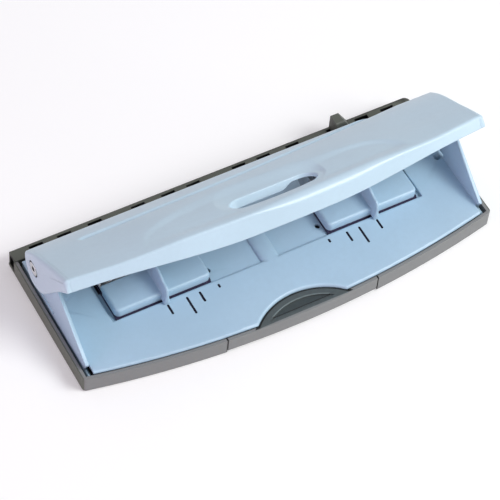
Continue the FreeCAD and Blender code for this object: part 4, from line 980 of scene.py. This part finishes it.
class PUNCH_OT_blocks(bpy.types.Operator):
    """Build the two block covers with their fins, and dress the plates, brackets, spacers and rivets"""

    bl_idname = "punch.blocks"
    bl_label = "Punch blocks"

    # Points (back, up) in millimetres from the fin's front foot, on the table.
    FIN_FRONT = ((0.0, 2.9), (1.2, 10.1), (4.8, 11.7), (9.2, 13.7), (13.2, 14.2), (17.2, 11.3), (18.7, 4.5))
    FIN_ROOT = ((18.7, 3.9), (4.4, 3.9), (4.4, 0.4))
    FIN_POLE = (4.3, 5.0)

    def execute(self, context):
        colours = context.scene.punch_colours
        b = in_mm(context.scene.punch_block)
        table = in_mm(context.scene.punch_table).top
        cover = moulded("cover_moulding", colours.shell_blue, roughness=0.34, grain=0.0008, depth=0.000012)
        plate = metal("pressed_plate", colours.steel, roughness=0.34, grain=(70.0, 1800.0, 1800.0))
        die = metal("blued_die", colours.blued_steel, roughness=0.5, grain=(70.0, 1800.0, 1800.0), tarnish=0.05)
        throat = moulded("throat_moulding", colours.throat_black, roughness=0.5, grain=0.0006, depth=0.00002)
        rivet = metal("rivet_heads", colours.ground_steel, roughness=0.28, grain=(1500.0, 1500.0, 200.0))
        for side, sign in SIDES.items():
            middle = np.array([sign * b.middle, 0.0, 0.0])
            nets = [(points + middle, faces) for points, faces in (self.cover(b), self.fin(b, table))]
            piece = surface("cover_" + side, nets, cover, side + "_block")
            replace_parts(piece, "block_cover_" + side)
            dress(["die_plate_" + side], die)
            dress([name + side for name in ("guide_plate_", "pin_bracket_")], plate)
            dress(["throat_stop_" + side], throat)
            dress(["frame_rivets_" + side], rivet)
        return {"FINISHED"}

    def cover(self, b):
        """A wall's section carried along the cover's plan, from the rear of the left side over the front to the
        rear of the right side. The section goes up the outside, over a quarter circle, along the roof to a pole in
        the middle of the rear edge, and back on the inside. Behind the throat's start the wall begins higher."""
        turn = np.linspace(0.0, math.pi / 2, 13)
        corner = -np.stack([np.cos(turn), np.sin(turn)], -1)
        left = np.array([b.corner - b.half, b.front + b.corner]) + corner * b.corner
        side_y = np.array([b.rear, (b.rear + b.throat) / 2, b.throat, b.throat])
        sides = np.stack([0 * side_y - b.half, side_y], -1)
        path = np.concatenate([sides, left])
        out = np.concatenate([0 * sides + (-1.0, 0.0), corner])
        low = np.concatenate([[b.throat_up] * 3, [b.low] * (1 + len(left))])
        path = np.concatenate([path, path[::-1] * (-1, 1)])
        out = np.concatenate([out, out[::-1] * (-1, 1)])
        low = np.concatenate([low, low[::-1]])
        pole = np.array([0.0, b.rear])
        rows = [(path, low), (path, low * 0.5 + (b.top - b.edge) * 0.5)]
        rows += [(path - out * b.edge * across, b.top - b.edge * down) for across, down in quarter(9)]
        over = rows[-1][0]
        rows += [(over * (1 - share) + pole * share, b.top) for share in (0.5, 1.0)]
        inner = path - out * b.wall
        rows += [(inner * (1 - share) + pole * share, b.top - b.roof) for share in (1.0, 0.5, 0.0)]
        rows += [(inner, low)]
        return net(stacked(rows).swapaxes(0, 1), close_columns=True)

    def fin(self, b, table):
        """A blade from its side view: rings shrink from the outline to a pole on both sides, and a half circle
        joins them over the edge. Its width is fin_thin, plus a flare that grows towards the foot and a root that
        grows towards the cover: each is a power of 1 - s, where s eases upwards."""
        front = smooth(np.array(self.FIN_FRONT), 60)
        outline = resample(np.concatenate([[(0.2, 0.4)], front, self.FIN_ROOT])[::-1], 160)
        normal = inwards(outline, 0.5)
        round_off = b.fin_thin / 2
        edge, pole = outline + normal * round_off, np.array(self.FIN_POLE)
        face = [edge * (1 - share) + pole * share for share in np.linspace(1.0, 0.0, 6)]
        over = [(outline + normal * round_off * (1 - math.cos(turn)), math.sin(turn))
                for turn in np.linspace(-math.pi / 2, math.pi / 2, 11)[1:-1]]
        both_sides = [(ring, -1) for ring in face] + over + [(ring, 1) for ring in face[::-1]]
        rings, side = (np.array(part) for part in zip(*both_sides))
        back, up = np.moveaxis(rings, -1, 0)
        flare = (b.fin_foot - b.fin_thin) * (1 - ease(up, -1.0, 7.5)) ** 1.3 * (1 - ease(back, 3.0, 6.0))
        root = 1.2 * (1 - ease(up, 4.3, 5.8)) ** 1.5 * ease(back, 4.0, 6.0)
        width = side[:, None] * (b.fin_thin + flare + root)
        return net(np.stack([width / 2, b.front - b.fin_reach + back, table + up], -1), close_columns=True)


class PUNCH_OT_punches(bpy.types.Operator):
    """Dress the punch pins and clips, and copy their springs and the detent leaves"""

    bl_idname = "punch.punches"
    bl_label = "Pins and springs"

    DIMPLE_END = 0.00875  # metres above the ground

    def execute(self, context):
        colours = context.scene.punch_colours
        pin = metal("ground_pin", colours.ground_steel, roughness=0.2, grain=(250.0, 250.0, 5000.0), tarnish=0.05)
        spring = metal("spring_wire", colours.spring_steel, roughness=0.3, grain=(900.0, 900.0, 2200.0))
        travel = {joint["name"]: joint["range_m"][1] for joint in frame["record"]["behaviour"]["joints"]
                  if "range_m" in joint}
        for side in SIDES:
            self.leaf(side, spring)
            for number in (1, 2, 3):
                end = "%s_%d" % (side, number)
                dress(["punch_pin_" + end], pin)
                dress(["pin_clip_" + end], spring)
                joint = "%s_pin_%d_slide" % (side, number)
                self.coil(end, side + "_block", spring, joint, travel[joint])
        return {"FINISHED"}

    def coil(self, end, body, material, joint, travel):
        """A copy of a return spring that stands on its block."""
        name = "pin_spring_" + end
        coil = merged_copy(name, "coil_" + end, material)
        finish_copy(coil, name, body, 50.0)
        coil.modifiers.clear()
        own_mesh(coil)

    def leaf(self, side, material):
        """A detent leaf whose dimple ends just above the recess's floor, as it stands between two marks."""
        leaf = merged_copy("detent_leaf_" + side, "leaf_" + side, material)
        reshape(leaf, self.clear_floor)
        finish_copy(leaf, "detent_leaf_" + side, side + "_block")

    def clear_floor(self, spots):
        """Holds a leaf above the floor."""
        spots[:, 2] = np.maximum(spots[:, 2], self.DIMPLE_END)


class PUNCH_OT_fittings(bpy.types.Operator):
    """Dress the screws, the pivots' bushes and inserts, and the feet"""

    bl_idname = "punch.fittings"
    bl_label = "Screws, pivots and feet"

    # Painted shade in the sockets: its colour, its radius and how far from the middle it ends.
    SOCKET_DARK, SOCKET_RADIUS, SOCKET_END = (0.01, 0.008, 0.012), 0.00155, 0.1046

    def execute(self, context):
        colours = context.scene.punch_colours
        zinc = metal("zinc_plate", colours.zinc, roughness=0.26, grain=(900.0, 900.0, 900.0))
        bright = metal("bright_zinc", shade(colours.zinc, 1.5), roughness=0.16, grain=(900.0, 900.0, 900.0),
                       patches=[self.socket])
        brass = metal("knurled_brass", colours.brass, roughness=0.32, grain=(200.0, 3000.0, 3000.0), depth=0.00002)
        dress(["base_screws", "table_screws", "rail_screws"], zinc)
        dress(["rubber_feet"], soft_rubber("feet_rubber", colours.rubber))
        for side in SIDES:
            dress(["pivot_screw_" + side], bright)
            dress(["pivot_bush_" + side], cloudy_nylon("bush_nylon_" + side, colours.nylon))
            dress(["pivot_insert_" + side], brass)
        return {"FINISHED"}

    def socket(self, tree, place):
        """The hexagon sockets in the pivot screws, painted near-black: painted shade."""
        return bored(tree, place, self.SOCKET_RADIUS, self.SOCKET_END), self.SOCKET_DARK


class PUNCH_OT_marks(bpy.types.Operator):
    """Print the marks on the table in front of each block"""

    bl_idname = "punch.marks"
    bl_label = "Table marks"

    def execute(self, context):
        marks = in_mm(context.scene.punch_marks)
        table = in_mm(context.scene.punch_table).top
        ink = printed_ink("mark_ink", context.scene.punch_colours.ink)
        for side, sign in SIDES.items():
            strips = [net(self.strip(marks, table, sign * place, reach), close_columns=True)
                      for place, reach in zip(marks.places, marks.lengths)]
            surface("size_marks_" + side, strips, ink, "base")
        return {"FINISHED"}

    def strip(self, marks, table, x, reach):
        """A flat lens carried along Y: its width falls to nothing at both ends like a rounded tip, and its top
        stands above the table by the ink's height while its lower half lies in the table."""
        along = np.linspace(0.0, 1.0, 33)[:, None]
        round_about = np.linspace(0.0, 2 * math.pi, 17)[None, :-1]
        from_end = np.minimum(along, 1.0 - along) * reach
        half = marks.width / 2 * np.sqrt(np.clip(1 - (1 - np.clip(from_end / (marks.width / 2), 0, 1)) ** 2, 0, 1))
        px = x + half * np.cos(round_about)
        py = marks.first_line - along * reach + 0 * round_about
        pz = table + marks.ink_height * (half / (marks.width / 2)) * np.sin(round_about)
        return np.stack([px, py, pz], -1)


class PUNCH_OT_stage(bpy.types.Operator):
    """Set the floor, the light and the camera"""

    bl_idname = "punch.stage"
    bl_label = "Stage"

    # The size of each lamp and its place in metres, and its colour.
    LAMPS = {"key": (0.7, (0.7, -0.7, 1.08), (0.97, 1.0, 0.99)),
             "fill": (0.8, (-0.1, 0.75, 1.05), (1.0, 0.97, 0.98)),
             "front": (0.4, (1.05, -0.8, 0.18), (1.0, 1.0, 0.98)),
             "side": (0.6, (-1.15, -0.2, 0.35), (1.0, 0.62, 0.82))}
    CAMERA_PLACE = (-0.36805, -0.55019, 0.90533)
    CAMERA_RIGHT, CAMERA_UP = (0.87615, -0.47805, 0.06179), (0.35516, 0.7269, 0.58777)
    CAMERA_BACK = (-0.3259, -0.49303, 0.80666)

    def execute(self, context):
        scene = context.scene
        stage = scene.punch_stage
        scene.view_settings.view_transform = "Standard"
        self.floor(stage)
        self.sky(scene, stage)
        for name, values in self.LAMPS.items():
            self.lamp(name + "_lamp", getattr(stage, name + "_power"), *values)
        self.camera(scene, stage)
        return {"FINISHED"}

    def floor(self, stage):
        """A flat square under the feet, pale, and lifted towards white for the camera and in reflections."""
        half = stage.floor_size / 2
        side = np.linspace(-half, half, 5)
        x, y = np.meshgrid(side, side, indexing="ij")
        points, faces = net(np.stack([x, y, 0 * x], -1))
        mesh = bpy.data.meshes.new("floor")
        mesh.from_pydata(points, [], faces)
        material, tree, place = start("paper_floor")
        tint = mix(tree, noise(tree, place, 0.4), (0.78, 0.78, 0.78), (0.8, 0.8, 0.8))
        lit = node(tree, "BsdfDiffuse", {"Color": tint}).outputs["BSDF"]
        lift = combine(tree, "MULTIPLY", self.seen(tree), stage.floor_lift)
        glow = node(tree, "Emission", {"Strength": lift}).outputs["Emission"]
        total = node(tree, "AddShader", {0: lit, 1: glow}).outputs["Shader"]
        node(tree, "OutputMaterial", {"Surface": total})
        mesh.materials.append(material)
        placed("floor", mesh)

    def seen(self, tree):
        """1 for rays from the camera and for mirrored or refracted ones, 0 for the light on the object."""
        path = node(tree, "LightPath").outputs
        first = combine(tree, "MAXIMUM", path["Is Camera Ray"], path["Is Glossy Ray"])
        return combine(tree, "MAXIMUM", first, path["Is Transmission Ray"])

    def sky(self, scene, stage):
        """Even light from all round, with plain white where it is seen."""
        world = bpy.data.worlds.new("studio")
        world.use_nodes = True
        tree = world.node_tree
        tree.nodes.clear()
        even = node(tree, "Background", {"Color": (0.95, 0.93, 1.0, 1.0), "Strength": stage.sky_strength})
        white = node(tree, "Background", {"Color": (1.0, 1.0, 1.0, 1.0), "Strength": 1.0})
        shown = node(tree, "MixShader", {0: self.seen(tree), 1: even.outputs["Background"],
                                         2: white.outputs["Background"]})
        node(tree, "OutputWorld", {"Surface": shown.outputs["Shader"]})
        scene.world = world

    def lamp(self, name, power, size, place, tint):
        """A square soft lamp that points at the middle of the object."""
        data = bpy.data.lights.new(name, "AREA")
        data.energy = power
        data.size = size
        data.color = tint
        aim = (-Vector(place)).to_track_quat("-Z", "Y").to_matrix().to_4x4()
        placed(name, data).matrix_world = Matrix.Translation(place) @ aim

    def camera(self, scene, stage):
        """The photograph's view: the camera's right, up and back, and where it stands."""
        data = bpy.data.cameras.new("camera")
        data.sensor_width = 36.0
        data.lens = stage.lens
        camera = placed("camera", data)
        turn = Matrix((self.CAMERA_RIGHT, self.CAMERA_UP, self.CAMERA_BACK)).transposed().to_4x4()
        camera.matrix_world = Matrix.Translation(self.CAMERA_PLACE) @ turn
        scene.camera = camera


OPERATORS = (PUNCH_OT_tray, PUNCH_OT_housing, PUNCH_OT_handle, PUNCH_OT_blocks, PUNCH_OT_punches,
             PUNCH_OT_fittings, PUNCH_OT_marks, PUNCH_OT_stage)


class PUNCH_PT_panel(bpy.types.Panel):
    """Lists the steps and the values that they use"""

    bl_idname = "PUNCH_PT_panel"
    bl_label = "Six-hole punch"
    bl_space_type = "VIEW_3D"
    bl_region_type = "UI"
    bl_category = "Punch"

    def draw(self, context):
        for step in OPERATORS:
            self.layout.operator(step.bl_idname)
        for name in GROUPS:
            group = getattr(context.scene, name)
            for key in group.__annotations__:
                self.layout.prop(group, key)


GROUPS = {"punch_colours": PunchColours, "punch_table": PunchTable, "punch_handle": PunchHandle,
          "punch_block": PunchBlock, "punch_marks": PunchMarks, "punch_stage": PunchStage}


def register():
    for group in GROUPS.values():
        bpy.utils.register_class(group)
    for key, group in GROUPS.items():
        setattr(bpy.types.Scene, key, PointerProperty(type=group))
    for step in OPERATORS:
        bpy.utils.register_class(step)
    bpy.utils.register_class(PUNCH_PT_panel)


def unregister():
    bpy.utils.unregister_class(PUNCH_PT_panel)
    for step in reversed(OPERATORS):
        bpy.utils.unregister_class(step)
    for key in GROUPS:
        delattr(bpy.types.Scene, key)
    for group in GROUPS.values():
        bpy.utils.unregister_class(group)


def main():
    register()
    for step in OPERATORS:
        group, name = step.bl_idname.split(".")
        getattr(getattr(bpy.ops, group), name)()


if __name__ == "__main__":
    main()
